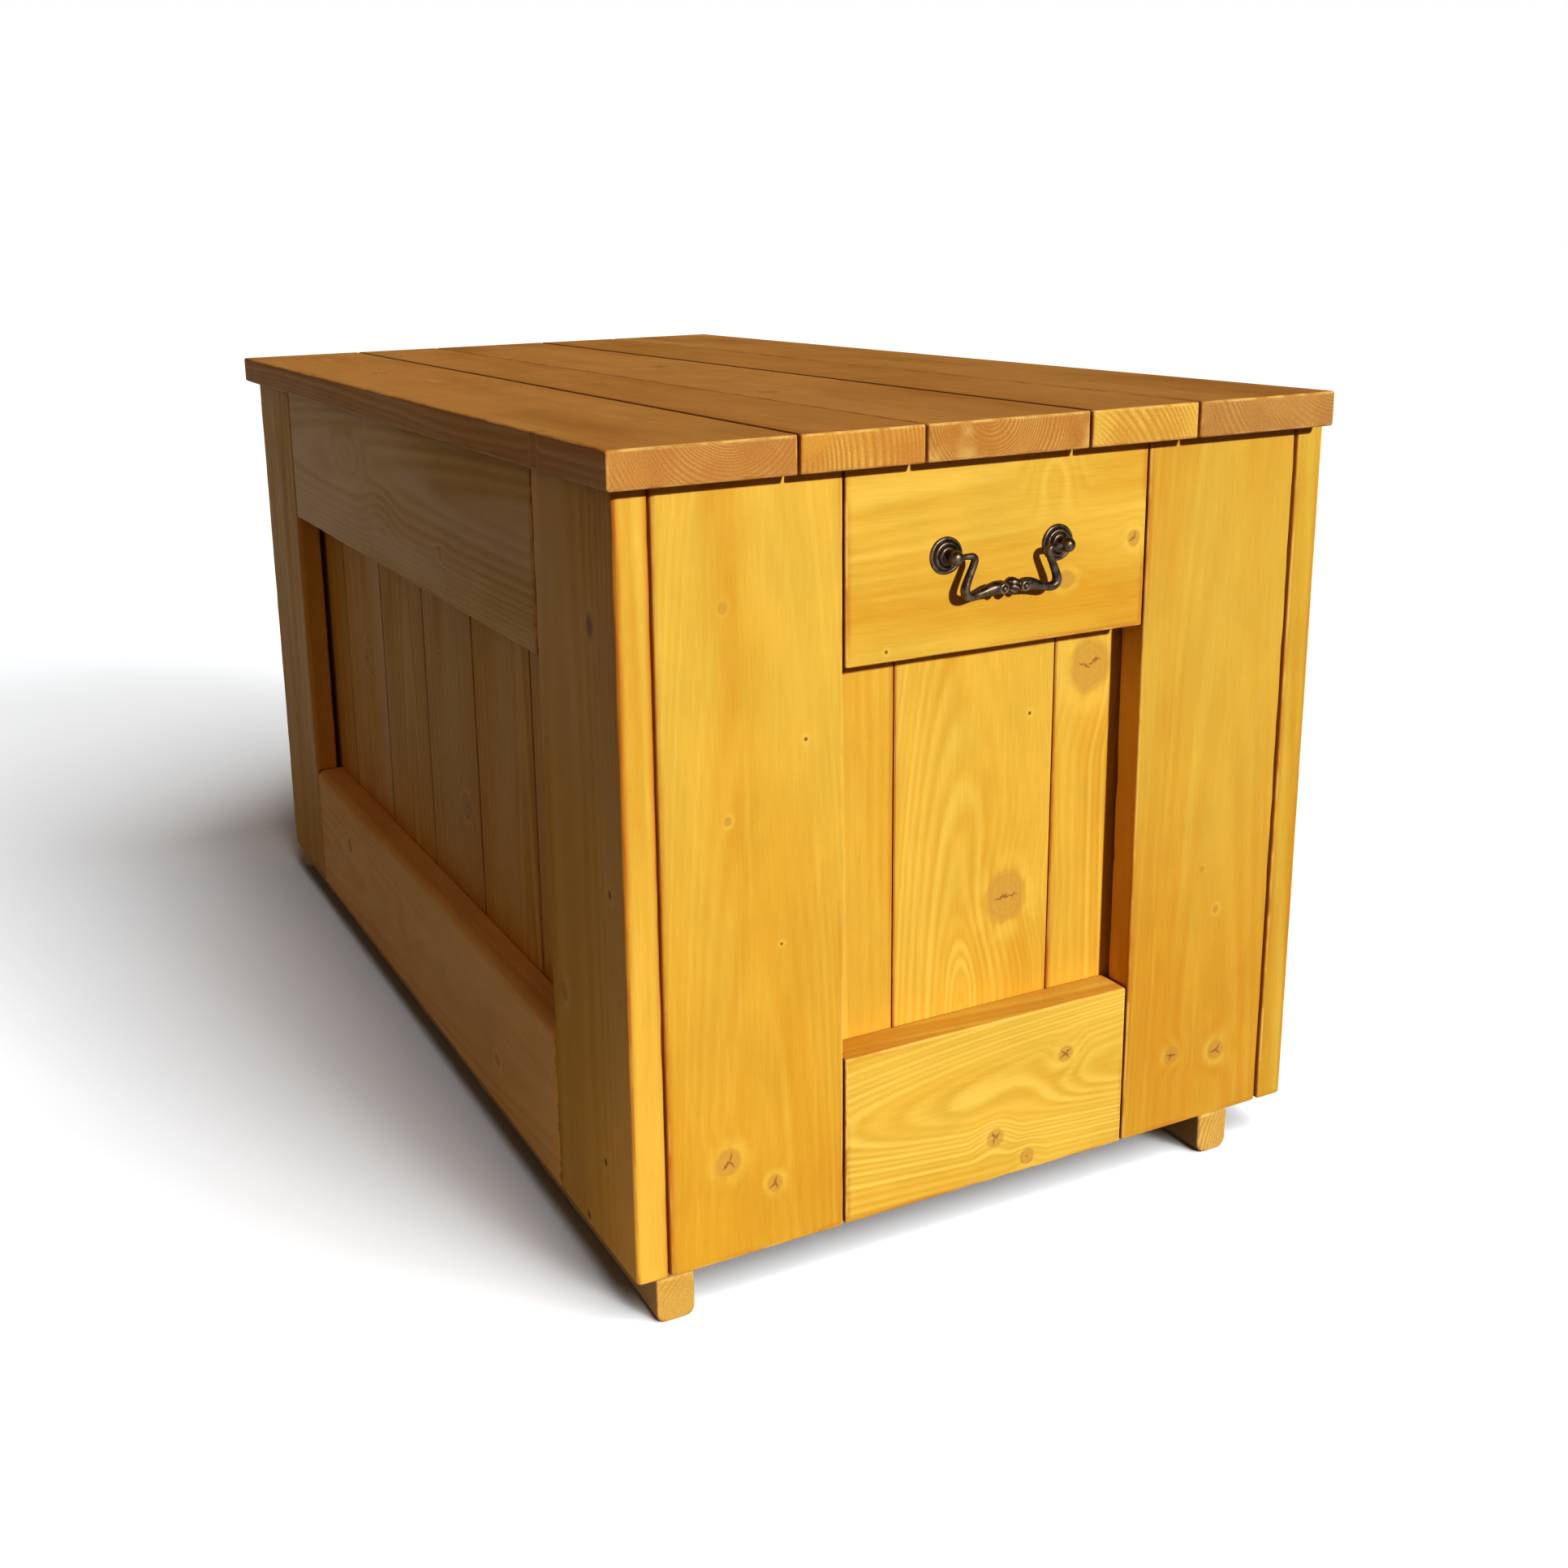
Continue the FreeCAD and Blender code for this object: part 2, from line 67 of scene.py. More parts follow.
def planed_board(node, finish, grain, arris, wear, seed, rounded_over=None):
    """A board lofted along its grain in the place of a CAD board, its arrises eased by hand and rubbed.

    rounded_over gives the radius of each arris that differs, by the two sides that meet there.
    """
    station_pitch, end_arc, arc = 0.016, 3, 4
    rubs_per_metre, dents_per_metre, dent_start = 34, 95, 0.4
    unevenness, dent_depth, largest_share = 0.45, 0.006, 0.6
    low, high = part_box(node)
    centre, half = (low + high) / 2, (high - low) / 2
    across, deep = [axis for axis in range(3) if axis != grain]
    end_turns = [math.pi / 2 * part / end_arc for part in range(end_arc + 1)]
    tip = [(half[grain] - arris * (1 - math.cos(turn)), arris * (1 - math.sin(turn))) for turn in end_turns]
    lengths = round(2 * half[grain] / station_pitch)
    inner = [(half[grain] - arris) * (2 * part / lengths - 1) for part in range(1, lengths)]
    stations = [(-place, inset) for place, inset in tip] + [(place, 0.0) for place in inner] + tip[::-1]
    points = []
    for place, inset in stations:
        for corner, (side_a, side_b) in enumerate(((1, 1), (-1, 1), (-1, -1), (1, -1))):
            # Each arris reads rows of the noise that no other arris reads
            rub = noise.noise(Vector((place * rubs_per_metre, corner * 9.1, seed)))
            dent = noise.noise(Vector((place * dents_per_metre, corner * 5.3 + 40, seed))) - dent_start
            eased = (rounded_over or {}).get((side_a, side_b), arris)
            radius = eased * (1 + unevenness * wear * rub) + dent_depth * wear * max(0.0, dent)
            radius = min(radius, largest_share * (min(half[across], half[deep]) - inset))
            for part in range(arc + 1):
                turn = math.pi / 2 * (corner + part / arc)
                point = Vector()
                point[grain] = place
                point[across] = side_a * (half[across] - inset - radius) + radius * math.cos(turn)
                point[deep] = side_b * (half[deep] - inset - radius) + radius * math.sin(turn)
                points.append(centre + point)
    ring = 4 * (arc + 1)
    faces = [list(range(ring))[::-1], [len(points) - ring + step for step in range(ring)]]
    rounded = [False, False]
    for station in range(len(stations) - 1):
        for step in range(ring):
            follow = (step + 1) % ring
            start = station * ring
            faces.append((start + step, start + follow, start + ring + follow, start + ring + step))
            rounded.append(step % (arc + 1) != arc)
    if grain == 1:
        faces = [list(face)[::-1] for face in faces]
    mesh = bpy.data.meshes.new(node + "_planed")
    mesh.from_pydata(points, [], faces)
    mesh.polygons.foreach_set("use_smooth", rounded)
    mesh.materials.append(finish)
    board = bpy.data.objects.new(node + "_planed", mesh)
    bpy.context.scene.collection.objects.link(board)
    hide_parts(node)
    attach(board, frame["nodes"][node]["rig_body"])


def stain(red, green, blue, strength=1.0):
    """A colour given on the 0 to 255 scale, as linear light."""
    levels = [level / 255 for level in (red, green, blue)]
    light = [level / 12.92 if level <= 0.04045 else ((level + 0.055) / 1.055) ** 2.4 for level in levels]
    return (*[strength * level for level in light], 1.0)


class Finish:
    """A surface finish built up from nodes: most calls add a node and give back its output."""

    def __init__(self, name):
        self.material = bpy.data.materials.new(name)
        self.material.use_nodes = True
        self.tree = self.material.node_tree
        self.tree.nodes.clear()

    def node(self, kind, feeds, out=0, **settings):
        node = self.tree.nodes.new("ShaderNode" + kind)
        for key, value in settings.items():
            setattr(node, key, value)
        for socket, value in feeds.items():
            if isinstance(value, bpy.types.NodeSocket):
                self.tree.links.new(value, node.inputs[socket])
            else:
                node.inputs[socket].default_value = value
        return node.outputs[out]

    def maths(self, operation, *values):
        return self.node("Math", dict(enumerate(values)), operation=operation)

    def times(self, first, second):
        return self.maths("MULTIPLY", first, second)

    def sway(self, value, cloud, amount):
        """The value, moved either way by a cloud whose middle level is a half."""
        return self.maths("MULTIPLY_ADD", self.maths("SUBTRACT", cloud, 0.5), amount, value)

    def vector(self, operation, *values):
        out = "Value" if operation in ("LENGTH", "DOT_PRODUCT") else "Vector"
        return self.node("VectorMath", dict(enumerate(values)), out, operation=operation)

    def ease(self, value, low, high, at_low=0.0, at_high=1.0):
        feeds = {0: value, 1: low, 2: high, 3: at_low, 4: at_high}
        return self.node("MapRange", feeds, interpolation_type="SMOOTHSTEP")

    def mix(self, share, first, second):
        """Blends two colours, which the node takes at its sockets 6 and 7 and gives back at 2."""
        return self.node("Mix", {0: share, 6: first, 7: second}, 2, data_type="RGBA")

    def shade(self, colour, amount):
        return self.node("VectorMath", {0: colour, "Scale": amount}, operation="SCALE")

    def cloud(self, vector, scale, detail, seed, out="Fac"):
        offset = (seed * 1.31, seed * 2.17, seed * 0.73)
        placed = self.node("Mapping", {"Vector": vector, "Location": offset, "Scale": scale})
        return self.node("TexNoise", {"Vector": placed, "Scale": 1.0, "Detail": detail}, out)

    def parts(self, vector):
        node = self.tree.nodes.new("ShaderNodeSeparateXYZ")
        self.tree.links.new(vector, node.inputs[0])
        return node.outputs

    def polish(self, colour, roughness, height, depth, **shine):
        shader = self.tree.nodes.new("ShaderNodeBsdfPrincipled")
        for socket, value in shine.items():
            shader.inputs[socket.replace("_", " ")].default_value = value
        self.tree.links.new(colour, shader.inputs["Base Color"])
        self.tree.links.new(roughness, shader.inputs["Roughness"])
        bump = self.node("Bump", {"Strength": 0.35, "Distance": depth, "Height": height}, "Normal")
        self.tree.links.new(bump, shader.inputs["Normal"])
        output = self.tree.nodes.new("ShaderNodeOutputMaterial")
        self.tree.links.new(shader.outputs[0], output.inputs["Surface"])
        return self.material


honey = {
    "base": (213, 166, 72),
    "light": (231, 194, 102),
    "deep": (201, 142, 42),
    "wear_and_shade": (232, 186, 112),
    "pooled": (176, 108, 34),
    "seam": (150, 82, 26),
    "end": (166, 116, 54),
    "end_light": (208, 160, 88),
    "sapwood": (196, 148, 78),
}


def pine(name, box, grain, face, heart, lean, ring, seed, tone=honey, figure=0.6, tint=1.0, foot=0.0,
         knots=(), pins=(), crowns=(), seams=(), boards=None, joint=0.5):
    """Stained pine: growth rings about a heart behind the show face, bent round knots, with rubbed arrises.

    face says which wide side shows. heart is the tree's middle, across the board and behind its face, lean
    is how it slopes along the board, and ring is a year's width. A knot is its place along and across, its
    two radii and the swell of the rings round it, then "rim" for a dark outline and an angle for each
    check. A pin is a small dark knot, and a crown is a swell without one. A seam is a side that keeps dark
    stain, and the stretch of it that does. These lengths are in millimetres. boards is a row's pitch and
    start in metres, then each board's heart in millimetres, its slope and its shade.
    """
    metre, usual_knot, cut_range, board_shift = 1000, 8, 400, 1.7
    far_off = 9.0
    middle = (0.5, 0.5, 0.5)
    low, high = box
    centre, half = (low + high) / 2, (high - low) / 2
    others = [axis for axis in range(3) if axis != grain]
    across, deep = sorted(others, key=lambda axis: -half[axis])
    paint = {part: stain(*colour, strength=tint) for part, colour in tone.items()}
    wood = Finish(name)
    place = wood.node("TexCoord", {}, "Object")
    sides = wood.parts(wood.vector("SUBTRACT", place, centre))
    along, sideways = sides[grain], sides[across]
    depth = wood.maths("MULTIPLY_ADD", sides[deep], -face, half[deep])
    flat = wood.node("CombineXYZ", {0: along, 1: sideways, 2: depth})
    spot, board_half = flat, half[across]
    if boards:
        pitch, first, cuts = boards
        count = wood.maths("MULTIPLY_ADD", sideways, 1 / pitch, (centre[across] - first) / pitch)
        number = wood.maths("FLOOR", count)
        sideways = wood.maths("MULTIPLY_ADD", wood.maths("FRACT", count), pitch, -pitch / 2)
        board_half = pitch / 2
        shifted = wood.maths("MULTIPLY_ADD", number, board_shift, along)
        spot = wood.node("CombineXYZ", {0: shifted, 1: sideways, 2: depth})
        chooser = wood.tree.nodes.new("ShaderNodeValToRGB")
        chooser.color_ramp.interpolation = "CONSTANT"
        while len(chooser.color_ramp.elements) < len(cuts):
            chooser.color_ramp.elements.new(0.5)
        for index, (offset, behind, slope, shade) in enumerate(cuts):
            stop = chooser.color_ramp.elements[index]
            stop.position = index / len(cuts)
            stop.color = (0.5 + offset / cut_range, 0.5 + behind / cut_range, 0.5 + slope, shade / 2)
        chosen = wood.maths("MULTIPLY_ADD", number, 1 / len(cuts), 0.5 / len(cuts))
        wood.tree.links.new(chosen, chooser.inputs[0])
        offset, behind, slope = wood.parts(wood.vector("SUBTRACT", chooser.outputs["Color"], middle))
        heart_across = wood.times(offset, cut_range / metre)
        heart_depth = wood.maths("ADD", wood.times(behind, cut_range / metre), wood.times(slope, along))
        heart_line = wood.node("CombineXYZ", {0: 0.0, 1: heart_across, 2: heart_depth})
    wander = wood.vector("SUBTRACT", wood.cloud(spot, (1.4, 6, 6), 2.0, seed, "Color"), middle)
    bent = wood.vector("ADD", spot, wood.vector("MULTIPLY", wander, (0.0, 0.016, 0.016)))
    if boards:
        from_heart = wood.vector("SUBTRACT", bent, heart_line)
    else:
        turn = (0.0, lean[1], -lean[0])
        shift = (0.0, -heart[0] / metre, -heart[1] / metre)
        from_heart = wood.node("Mapping", {"Vector": bent, "Location": shift, "Rotation": turn})
    growth = wood.vector("LENGTH", wood.vector("MULTIPLY", from_heart, (0.0, metre / ring, metre / ring)))

    def around(place_along, place_across, long_radius, wide_radius):
        reach = (metre / long_radius, metre / wide_radius, 0.0)
        shift = (-(place_along / metre - centre[grain]) * reach[0],
                 -(place_across / metre - centre[across]) * reach[1], 0.0)
        return wood.node("Mapping", {"Vector": flat, "Location": shift, "Scale": reach})

    for *crown, swell in crowns:
        near_crown = wood.ease(wood.vector("LENGTH", around(*crown)), 0.0, 2.2, 1.0, 0.0)
        growth = wood.maths("MULTIPLY_ADD", near_crown, swell, growth)
    rub = wood.cloud(spot, (34, 60, 60), 2.0, seed + 14)
    nick = wood.cloud(spot, (120, 150, 150), 2.0, seed + 23)
    knot_reach = whole_reach = check_reach = pin_reach = far_off
    for knot_along, knot_across, long_radius, wide_radius, swell, *marks in knots:
        local = around(knot_along, knot_across, long_radius, wide_radius)
        distance = wood.vector("LENGTH", local)
        growth = wood.maths("MULTIPLY_ADD", wood.ease(distance, 0.3, 3.6, 1.0, 0.0), swell, growth)
        knot_reach = wood.maths("MINIMUM", distance, knot_reach)
        if "rim" in marks:
            whole_reach = wood.maths("MINIMUM", distance, whole_reach)
        for angle in [mark for mark in marks if mark != "rim"]:
            outwards = wood.vector("DOT_PRODUCT", local, (math.cos(angle), math.sin(angle), 0.0))
            aside = wood.vector("DOT_PRODUCT", local, (-math.sin(angle), math.cos(angle), 0.0))
            aside = wood.maths("ABSOLUTE", wood.sway(aside, nick, 0.6))
            blunt = wood.ease(outwards, -0.2, 0.0, 1.0, 0.0)
            pointed = wood.ease(outwards, 0.3, 1.1, 0.0, 0.16)
            tapered = wood.maths("ADD", aside, wood.maths("ADD", blunt, pointed))
            check_reach = wood.maths("MINIMUM", wood.times(tapered, wide_radius / usual_knot), check_reach)

    # Growth rings, and the stain that they take up
    years = wood.maths("MULTIPLY_ADD", wood.maths("SINE", wood.times(growth, 0.43)), 0.9, growth)
    phase = wood.maths("FRACT", years)
    season = wood.node("TexWhiteNoise", {"W": wood.maths("FLOOR", years)}, "Value", noise_dimensions="1D")
    late = wood.times(wood.ease(phase, 0.0, 0.6), wood.ease(phase, 0.6, 1.0, 1.0, 0.0))
    band = wood.times(late, wood.ease(season, 0.15, 0.95, 0.25, 1.0))
    patch = wood.cloud(spot, (2.4, 12, 12), 3.0, seed + 5)
    drink = wood.cloud(spot, (3.0, 14, 14), 3.0, seed + 8)
    fleck = wood.cloud(spot, (8, 150, 150), 3.0, seed + 20)
    streak = wood.cloud(spot, (36, 560, 560), 3.0, seed + 11)
    mottle = wood.cloud(spot, (15, 26, 26), 3.0, seed + 27)
    shown = wood.times(wood.ease(patch, 0.36, 0.62, 0.15, 1.0), figure)
    colour = wood.mix(wood.ease(drink, 0.42, 0.74, 0.0, 0.75), paint["base"], paint["deep"])
    if foot:
        colour = wood.mix(wood.ease(wood.parts(place)[2], 0.04, 0.52, foot, 0.0), colour, paint["deep"])
    colour = wood.mix(wood.times(band, shown), colour, paint["light"])
    colour = wood.mix(wood.ease(fleck, 0.56, 0.78, 0.0, 0.16), colour, paint["light"])
    if boards:
        colour = wood.shade(colour, wood.times(chooser.outputs["Alpha"], 2.0))
    fibres = wood.times(wood.ease(streak, 0.3, 0.72, 0.97, 1.025), wood.ease(mottle, 0.3, 0.7, 0.965, 1.035))
    colour = wood.shade(colour, fibres)

    # Knots with their halo, rings, rim, pith and checks, and the pins
    if knots:
        ragged = wood.sway(wood.sway(knot_reach, rub, 0.5), nick, 0.22)
        rings = wood.ease(wood.maths("PINGPONG", wood.times(ragged, 4.6), 0.5), 0.05, 0.45)
        halo = wood.times(wood.ease(ragged, 0.9, 1.15), wood.ease(ragged, 1.25, 2.1, 1.0, 0.0))
        colour = wood.mix(wood.times(halo, wood.ease(rub, 0.36, 0.62, 0.06, 0.3)), colour, paint["light"])
        inside = wood.mix(wood.times(rings, 0.25), stain(192, 147, 74, tint), stain(172, 125, 56, tint))
        colour = wood.mix(wood.ease(ragged, 0.78, 1.08, 0.74, 0.0), colour, inside)
        whole = wood.sway(whole_reach, rub, 0.5)
        rim = wood.times(wood.ease(whole, 0.72, 0.92), wood.ease(whole, 0.92, 1.14, 1.0, 0.0))
        broken_rim = wood.times(rim, wood.ease(nick, 0.4, 0.6, 0.1, 0.5))
        colour = wood.mix(broken_rim, colour, stain(146, 94, 42, tint))
        colour = wood.mix(wood.ease(whole, 0.06, 0.22, 0.4, 0.0), colour, stain(136, 88, 42, tint))
        colour = wood.mix(wood.ease(check_reach, 0.03, 0.17, 0.62, 0.0), colour, stain(104, 66, 40, tint))
    for pin_along, pin_across, radius, *wide in pins:
        distance = wood.vector("LENGTH", around(pin_along, pin_across, radius, *(wide or [radius])))
        pin_reach = wood.maths("MINIMUM", distance, pin_reach)
    if pins:
        colour = wood.mix(wood.ease(pin_reach, 1.0, 3.0, 0.25, 0.0), colour, paint["light"])
        colour = wood.mix(wood.ease(pin_reach, 0.4, 1.0, 0.85, 0.0), colour, stain(106, 62, 16, tint))

    # Stain pooled by the arrises, end grain, and rubbed arrises (a painted shade line on the front stiles)
    to_side = wood.maths("SUBTRACT", board_half, wood.maths("ABSOLUTE", sideways))
    to_face = wood.maths("MINIMUM", depth, wood.maths("SUBTRACT", 2 * half[deep], depth))
    to_end = wood.maths("SUBTRACT", half[grain], wood.maths("ABSOLUTE", along))
    inner_edge = wood.maths("MINIMUM", wood.maths("MAXIMUM", to_side, to_face), to_end)
    to_arris = wood.maths("MAXIMUM", wood.maths("MINIMUM", to_side, to_face), inner_edge)
    pooled = wood.times(wood.ease(to_arris, 0.001, 0.006, 0.55, 0.0), wood.ease(drink, 0.42, 0.62))
    colour = wood.mix(pooled, colour, paint["pooled"])
    speck = wood.cloud(spot, (700, 700, 700), 1.0, seed + 17)
    end_band = wood.times(late, wood.ease(mottle, 0.35, 0.65, 0.15, 0.75))
    end_colour = wood.mix(end_band, paint["end"], paint["end_light"])
    end_colour = wood.mix(wood.ease(drink, 0.44, 0.62, 0.0, 0.8), end_colour, paint["sapwood"])
    end_colour = wood.shade(end_colour, wood.ease(speck, 0.3, 0.7, 0.92, 1.07))
    colour = wood.mix(wood.ease(to_end, 0.0003, 0.0014, 1.0, 0.0), colour, end_colour)
    # With the front stiles' tone this arris colour is reddish-brown: painted shade where the lit side turns
    # away.
    rub_and_shade_line = wood.times(wood.ease(to_arris, 0.0007, 0.0024, 1.0, 0.0), wood.ease(rub, 0.36, 0.62, 0.05, 0.75))
    colour = wood.mix(rub_and_shade_line, colour, paint["wear_and_shade"])

    # Dark stain left in the joints
    for side, *span in seams:
        measure, reach = (along, half[grain]) if side in ("top", "foot") else (sideways, board_half)
        signed = wood.times(measure, 1.0 if side in ("top", "far", "far_open") else -1.0)
        if side in ("far_open", "near_open"):
            inner, outer = 0.0028, 0.0008
            sheltered = wood.ease(to_end, 0.002, 0.006)
        else:
            inner, outer = 0.0012, 0.0006
            sheltered = wood.ease(depth, 0.001, 0.004)
        hidden = wood.times(wood.ease(signed, reach - inner, reach - outer), sheltered)
        if span:
            start, stop = (end / metre - centre[grain] for end in span)
            after, before = wood.maths("GREATER_THAN", along, start), wood.maths("LESS_THAN", along, stop)
            hidden = wood.times(hidden, wood.times(after, before))
        colour = wood.mix(wood.times(hidden, 0.9), colour, paint["seam"])
    if boards:
        colour = wood.mix(wood.ease(to_side, 0.0006, 0.0019, joint, 0.0), colour, paint["seam"])

    roughness = wood.ease(wood.maths("ADD", patch, wood.times(late, -0.12)), 0.2, 0.8, 0.5, 0.7)
    height = wood.maths("MULTIPLY_ADD", late, 0.35, wood.times(streak, 0.9))
    return wood.polish(colour, roughness, height, 0.0005, Specular_IOR_Level=0.15)


skid_stain = {**honey, "base": (190, 160, 112), "light": (204, 176, 130), "deep": (172, 138, 88),
              "end": (190, 142, 72), "end_light": (218, 178, 108), "sapwood": (200, 152, 80)}
skid_hearts = {"front_skid": (-64, 80), "back_skid": (-40, 96)}
floor_arris = 0.0082
for seed, (skid, heart) in enumerate(skid_hearts.items(), start=3):
    finish = pine(skid + "_pine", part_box(skid), grain=0, face=-1, heart=heart, lean=(0.01, 0.02), ring=3.0,
                  seed=seed, tone=skid_stain, figure=0.7)
    planed_board(skid, finish, grain=0, arris=0.0022, wear=0.8, seed=seed,
                 rounded_over={(1, -1): floor_arris, (-1, -1): floor_arris})

# Bottom boards: seven loose pine boards across the chest, planed and left without stain.
# Each is laid on the two skids and held there by four countersunk steel screws.


def dress(node, material):
    """Puts a finish on a CAD piece whose own shape stays."""
    for place in frame["nodes"][node].material_slots:
        place.material = material


bare_pine = {
    "base": (222, 178, 112),
    "light": (206, 150, 84),
    "deep": (206, 156, 92),
    "wear_and_shade": (230, 194, 136),
    "pooled": (196, 146, 84),
    "seam": (110, 66, 34),
    "end": (196, 146, 86),
    "end_light": (170, 116, 62),
    "sapwood": (204, 156, 94),
}
bottom_half_run = 0.4896
bottom_cuts = [(20, 60, 0.02, 0.97), (-30, 45, -0.03, 1.03), (8, 38, 0.04, 0.94), (-12, 52, -0.02, 1.05),
               (36, 70, 0.01, 0.98), (-6, 34, -0.04, 1.02), (18, 48, 0.03, 0.95)]
bottom_width = 2 * bottom_half_run / len(bottom_cuts)
bottom_knots = [(-120, -250, 10, 9, 3, "rim"), (90, -20, 12, 10, 3, "rim", 1.2), (180, 260, 9, 8, 2.5, "rim"),
                (-60, 400, 8, 7, 2, 0.5, 2.9)]
bottom_finish = pine("bottom_board_pine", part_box("bottom_boards"), grain=1, face=1, heart=(0, 0), lean=(0, 0),
                     ring=2.8, seed=21.0, tone=bare_pine, figure=0.7, knots=bottom_knots,
                     boards=(bottom_width, -bottom_half_run, bottom_cuts))
dress("bottom_boards", bottom_finish)


def steel(name, bright, dull, rust, seed):
    """Drawn or rolled steel: bright where it is rubbed, clouded where it has dulled, with a little brown."""
    metal = Finish(name)
    place = metal.node("TexCoord", {}, "Object")
    cloudy = metal.cloud(place, (70, 70, 110), 4.0, seed)
    drawn = metal.cloud(place, (60, 1400, 1400), 2.0, seed + 3)
    spotted = metal.cloud(place, (420, 420, 420), 2.0, seed + 5)
    colour = metal.mix(metal.ease(cloudy, 0.3, 0.7), bright, dull)
    colour = metal.shade(colour, metal.ease(drawn, 0.3, 0.7, 0.9, 1.08))
    colour = metal.mix(metal.ease(spotted, 0.64, 0.78, 0.0, 0.45), colour, rust)
    roughness = metal.ease(metal.maths("MULTIPLY_ADD", drawn, 0.5, cloudy), 0.4, 1.1, 0.34, 0.52)
    return metal.polish(colour, roughness, drawn, 0.0002, Metallic=1.0)


screw_steel = steel("screw_steel", stain(206, 200, 186), stain(150, 146, 138), stain(132, 96, 64), 2.0)
dress("bottom_board_screws", screw_steel)

# Front frame: two stiles and two thicker rails of stained pine, butted together edge to edge.
# Each joint is held by two beech dowels, and a thin line of dark stain stays in the open joint.
rail_spans = ((0, 169.5), (465, 605))
front_stiles = [
    ("front_left_stile", (16, 44), (0.004, -0.02), 31.0, 0.91,
     [(210, -455, 9, 8, 2.5, "rim")], [(480, -420, 2.2)]),
    ("front_right_stile", (-30, 58), (0.006, 0.012), 34.0, 1.0, [(212, 400, 8, 6, 0.6)],
     [(507, 475, 12, 7), (322.5, 493.5, 5, 4), (107, 468, 4, 3.6), (43.6, 431, 5, 4)]),
]
# The front stiles' arris colour is a reddish-brown painted shade line, where the lit side turns into shade.
front_stile_stain_and_shade = {**honey, "base": (216, 167, 75), "deep": (206, 151, 55), "pooled": (190, 118, 40),
                "wear_and_shade": (172, 100, 40)}
show_arris = 0.0042
for stile, heart, lean, seed, tint, knots, pins in front_stiles:
    joint = "far" if "left" in stile else "near"
    finish = pine(stile + "_pine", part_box(stile), grain=2, face=-1, heart=heart, lean=lean, ring=8.0,
                  seed=seed, tone=front_stile_stain_and_shade, figure=0.35, tint=tint, knots=knots, pins=pins,
                  seams=[[joint, *span] for span in rail_spans])
    planed_board(stile, finish, grain=2, arris=0.0024, wear=1.2, seed=seed,
                 rounded_over={(1, -1): show_arris, (-1, -1): show_arris})
silvered = {**honey, "base": (206, 165, 90), "light": (224, 190, 120), "deep": (190, 142, 62)}
ruddy = {**honey, "base": (222, 176, 106), "light": (236, 201, 138), "deep": (208, 155, 80),
         "pooled": (206, 154, 84)}
front_rails = [
    ("front_top_rail", (22, 34), (0.02, -0.04), 37.0, silvered, 0.55, 1.04, {},
     [(150, 505, 6, 6, 0.8, "rim")], [(-136, 557, 46, 16, 4.0), (-30, 520, 40, 20, 2.0)]),
    ("front_bottom_rail", (-10, 44), (0.01, 0.05), 41.0, ruddy, 0.4, 1.22, {(-1, 1): 0.009},
     [(-240, 120, 8, 7, 1, "rim"), (230, 80, 7, 6, 1)], [(0, 95, 60, 18, 2.0)]),
]
for rail, heart, lean, seed, tone, figure, tint, rounded_over, knots, crowns in front_rails:
    finish = pine(rail + "_pine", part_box(rail), grain=0, face=-1, heart=heart, lean=lean, ring=6.2, seed=seed,
                  tone=tone, figure=figure, tint=tint, knots=knots, crowns=crowns, seams=[["top"], ["foot"]])
    planed_board(rail, finish, grain=0, arris=0.0016, wear=0.9, seed=seed,
                 rounded_over=rounded_over)
beech = {
    "base": (206, 164, 116),
    "light": (190, 142, 94),
    "deep": (188, 140, 92),
    "wear_and_shade": (214, 176, 130),
    "pooled": (176, 128, 80),
    "seam": (110, 70, 40),
    "end": (180, 130, 82),
    "end_light": (160, 108, 62),
    "sapwood": (188, 140, 90),
}
for wall, grain in (("front", 0), ("back", 0), ("left_end", 1), ("right_end", 1)):
    dowels = wall + "_frame_dowels"
    dress(dowels, pine(dowels + "_beech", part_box(dowels), grain, face=1, heart=(30, 60), lean=(0.01, 0.01),
                       ring=1.6, seed=44.0, tone=beech))

# End frames: stained pine, dowelled like the front frame and set between the front and back stiles.
# A narrow open gap runs down each corner, and the end stile's arris beside it is eased more than the rest.
end_stiles = [
    ("right_end_front_stile", 1, (2.6, 40), (0.0, 0.085), 5.6, 51.0, 1.0,
     [(113.6, -220.7, 11, 10.5, 1.6, 0.25, 2.3, 3.9), (86.9, -183.4, 7, 6.5, 1.0, 0.4, 2.6, 4.1),
      (518.9, -218.0, 4, 3.6, 0.7), (370, -216.6, 3.4, 3, 0.6)], [(419.5, -155.4, 2.0), (272.4, -176, 1.6)]),
    ("right_end_back_stile", 1, (14, 52), (0.004, 0.05), 6.4, 54.0, 0.91,
     [(99, 184.7, 7, 7, 1.2, 1.5, 3.7, 4.9), (92.8, 231.5, 9, 8.5, 1.4, 0.9, 2.2, 4.5),
      (256.4, 206.6, 3, 2.6, 0.6), (218.9, 223.5, 3.6, 3, 0.7)], []),
    ("left_end_front_stile", -1, (-12, 46), (0.006, 0.05), 5.2, 57.0, 1.0,
     [(430, -190, 11, 10, 1.8, 0.6, 3.0), (150, -230, 7, 6, 1.2, "rim")], [(300, -160, 2.0)]),
    ("left_end_back_stile", -1, (18, 40), (-0.004, -0.06), 5.0, 60.0, 0.91,
     [(360, 200, 9, 8, 1.6, 2.0, 4.4, 5.3)], [(520, 240, 2.2), (180, 170, 2.0)]),
]
gap_arris = 0.0038
